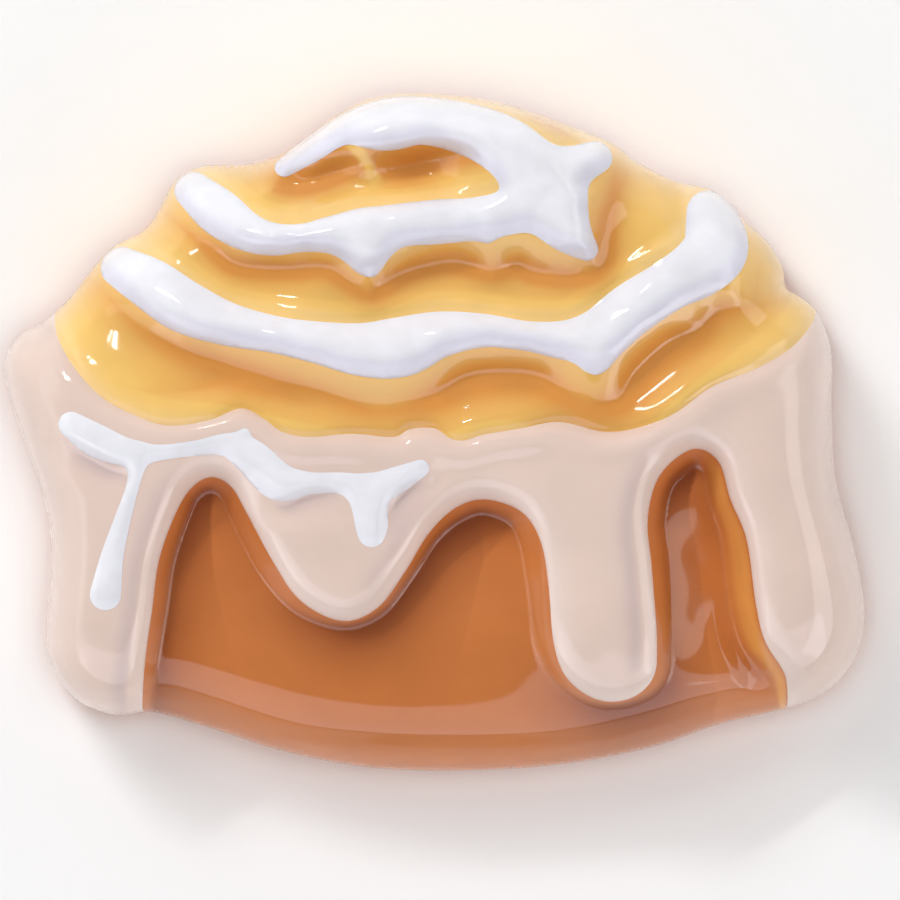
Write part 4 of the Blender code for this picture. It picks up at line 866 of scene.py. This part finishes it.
# Painted shade darkens the floor of each window below the upper and left edges of the glaze; painted light
# brightens the walls that face left, towards the lamp, most in the right window.
DOUGH_BROWN = (0.62, 0.20, 0.055)
DOUGH_PAINTED_SHADE = (0.28, 0.07, 0.02)
DOUGH_PAINTED_LIGHT = (0.82, 0.36, 0.09)
LEE_SHARES = (0.3, -0.32, 0.62)
RECESS_REACH = 1.5
RECESS_ON_WALL = 0.3
LIT_FACING = (1.4, 0.4)
LIT_MIDDLE = 0.8
LIT_REACH = 1.2
LIT_LEAST = 0.15
RIGHT_GAP = (9.5, 0.3)
brown_plastic = plastic("brown dough plastic", DOUGH_BROWN, DOUGH_PAINTED_SHADE, DOUGH_PAINTED_LIGHT, deepest=1.05,
                        cloud_size=500.0)
# Painted shade on the window floors under the glaze, and painted light on the walls that face left.
lee = np.clip(LEE_SHARES[0] + LEE_SHARES[1] * towards[0] + LEE_SHARES[2] * towards[1], 0, 1)
past_wall = to_hem - hem_wall
painted_shade_and_wall_light = np.exp(-np.where(past_wall > 0, past_wall / RECESS_REACH, (past_wall / RECESS_ON_WALL) ** 2))
painted_shade_and_wall_light *= lee
lit_wall = np.clip(LIT_FACING[0] * towards[0] - LIT_FACING[1], 0, 1)
lit_wall *= np.clip(LIT_REACH - abs(2 * to_hem / hem_wall - LIT_MIDDLE), 0, 1)
painted_shade_and_wall_light -= lit_wall * (LIT_LEAST + (1 - LIT_LEAST) * fade(flat[:, 0], *RIGHT_GAP))
painted_shade_and_wall_light[~inside(flat, below_hem)] = 0
others = ["glaze", "swirl", "curl", "arc", "drizzle"]
dough_terraces = [(["dough"], base), (others, PLATE_THICKNESS)]
dough = cast("dough", dough_terraces, BACK_CHAMFER, brown_plastic, painted_shade_and_wall_light, BACK_CHAMFER)
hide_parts("dough_body")

# The table. A plain pale sheet that the charm lies on.
TABLE_HALF = 0.6
TABLE_PALE = (0.97, 0.97, 0.97)
TABLE_ROUGHNESS = 0.8
table_mesh = bpy.data.meshes.new("table")
corners = [(-TABLE_HALF, -TABLE_HALF, 0), (TABLE_HALF, -TABLE_HALF, 0), (TABLE_HALF, TABLE_HALF, 0),
           (-TABLE_HALF, TABLE_HALF, 0)]
table_mesh.from_pydata(corners, [], [(0, 1, 2, 3)])
table = bpy.data.objects.new("table", table_mesh)
bpy.context.scene.collection.objects.link(table)
paper = bpy.data.materials.new("pale paper")
paper.use_nodes = True
paper_shader = paper.node_tree.nodes["Principled BSDF"]
paper_shader.inputs["Base Color"].default_value = (*TABLE_PALE, 1)
paper_shader.inputs["Roughness"].default_value = TABLE_ROUGHNESS
table_mesh.materials.append(paper)

# The light and the camera. A tent of white cloth lights the charm from all sides, with an opening
# above for the camera, a soft lamp at the upper left, and the camera straight above.
scene = bpy.context.scene
scene.view_settings.view_transform = "Standard"
scene.view_settings.look = "None"
CAMERA_DISTANCE = 0.45
SENSOR_WIDTH = 36.0
FRAME_WIDTH = 33.37 * MM
AIM = (0.575 * MM, -0.667 * MM, 3.0 * MM)
lens = bpy.data.cameras.new("camera")
lens.sensor_width = SENSOR_WIDTH
lens.lens = SENSOR_WIDTH * CAMERA_DISTANCE / FRAME_WIDTH
lens.clip_start = 10 * MM
camera = bpy.data.objects.new("camera", lens)
camera.location = (AIM[0], AIM[1], AIM[2] + CAMERA_DISTANCE)
scene.collection.objects.link(camera)
scene.camera = camera

TENT_COLOUR = (1.0, 0.99, 0.99)
TENT_LIGHT = 0.5
OPENING_LIGHT = 0.12
OPENING_FROM = 0.35
OPENING_FULL = 0.80
world = bpy.data.worlds.new("tent")
world.use_nodes = True
scene.world = world
nodes, links = world.node_tree.nodes, world.node_tree.links
direction = nodes.new("ShaderNodeTexCoord")
parts = nodes.new("ShaderNodeSeparateXYZ")
links.new(direction.outputs["Generated"], parts.inputs[0])
opening = nodes.new("ShaderNodeMapRange")
opening.interpolation_type = "SMOOTHSTEP"
opening.inputs["From Min"].default_value = OPENING_FROM
opening.inputs["From Max"].default_value = OPENING_FULL
opening.inputs["To Min"].default_value = TENT_LIGHT
opening.inputs["To Max"].default_value = OPENING_LIGHT
links.new(parts.outputs["Z"], opening.inputs["Value"])
links.new(opening.outputs[0], nodes["Background"].inputs["Strength"])
nodes["Background"].inputs["Color"].default_value = (*TENT_COLOUR, 1)


def lamp(name, place, size, radiance, glossy=True, diffuse=True, tint=(1.0, 1.0, 1.0)):
    """A rectangular lamp that faces the charm, of a given brightness of its surface."""
    data = bpy.data.lights.new(name, "AREA")
    data.shape = "RECTANGLE"
    data.size, data.size_y = size
    data.energy = radiance * math.pi * size[0] * size[1]
    data.color = tint
    thing = bpy.data.objects.new(name, data)
    thing.location = place
    thing.rotation_euler = (Vector(AIM) - Vector(place)).to_track_quat("-Z", "Y").to_euler()
    thing.visible_glossy = glossy
    thing.visible_diffuse = diffuse
    scene.collection.objects.link(thing)


lamp("soft key", (-0.20, 0.26, 0.34), (0.22, 0.22), 3.3, glossy=False)
lamp("overhead", (0.05, 0.0, 0.55), (0.35, 0.35), 2.6, glossy=False)
lamp("front fill", (0.08, -0.50, 0.13), (0.50, 0.15), 2.6, glossy=False)
lamp("left fill", (-0.50, 0.0, 0.15), (0.40, 0.15), 1.6, glossy=False)
lamp("right fill", (0.45, 0.10, 0.20), (0.40, 0.20), 1.4, glossy=False)
lamp("window", (-0.176, 0.251, 0.257), (0.12, 0.014), 60.0)
lamp("window bar", (-0.184, 0.262, 0.232), (0.09, 0.006), 45.0)
lamp("front panel", (0.0, -0.38, 0.20), (1.2, 0.36), 1.65, diffuse=False, tint=(0.97, 0.94, 1.08))
lamp("right panel", (0.42, -0.05, 0.17), (0.8, 0.28), 1.8, diffuse=False)
lamp("left panel", (-0.44, -0.05, 0.12), (0.8, 0.16), 1.0, diffuse=False)
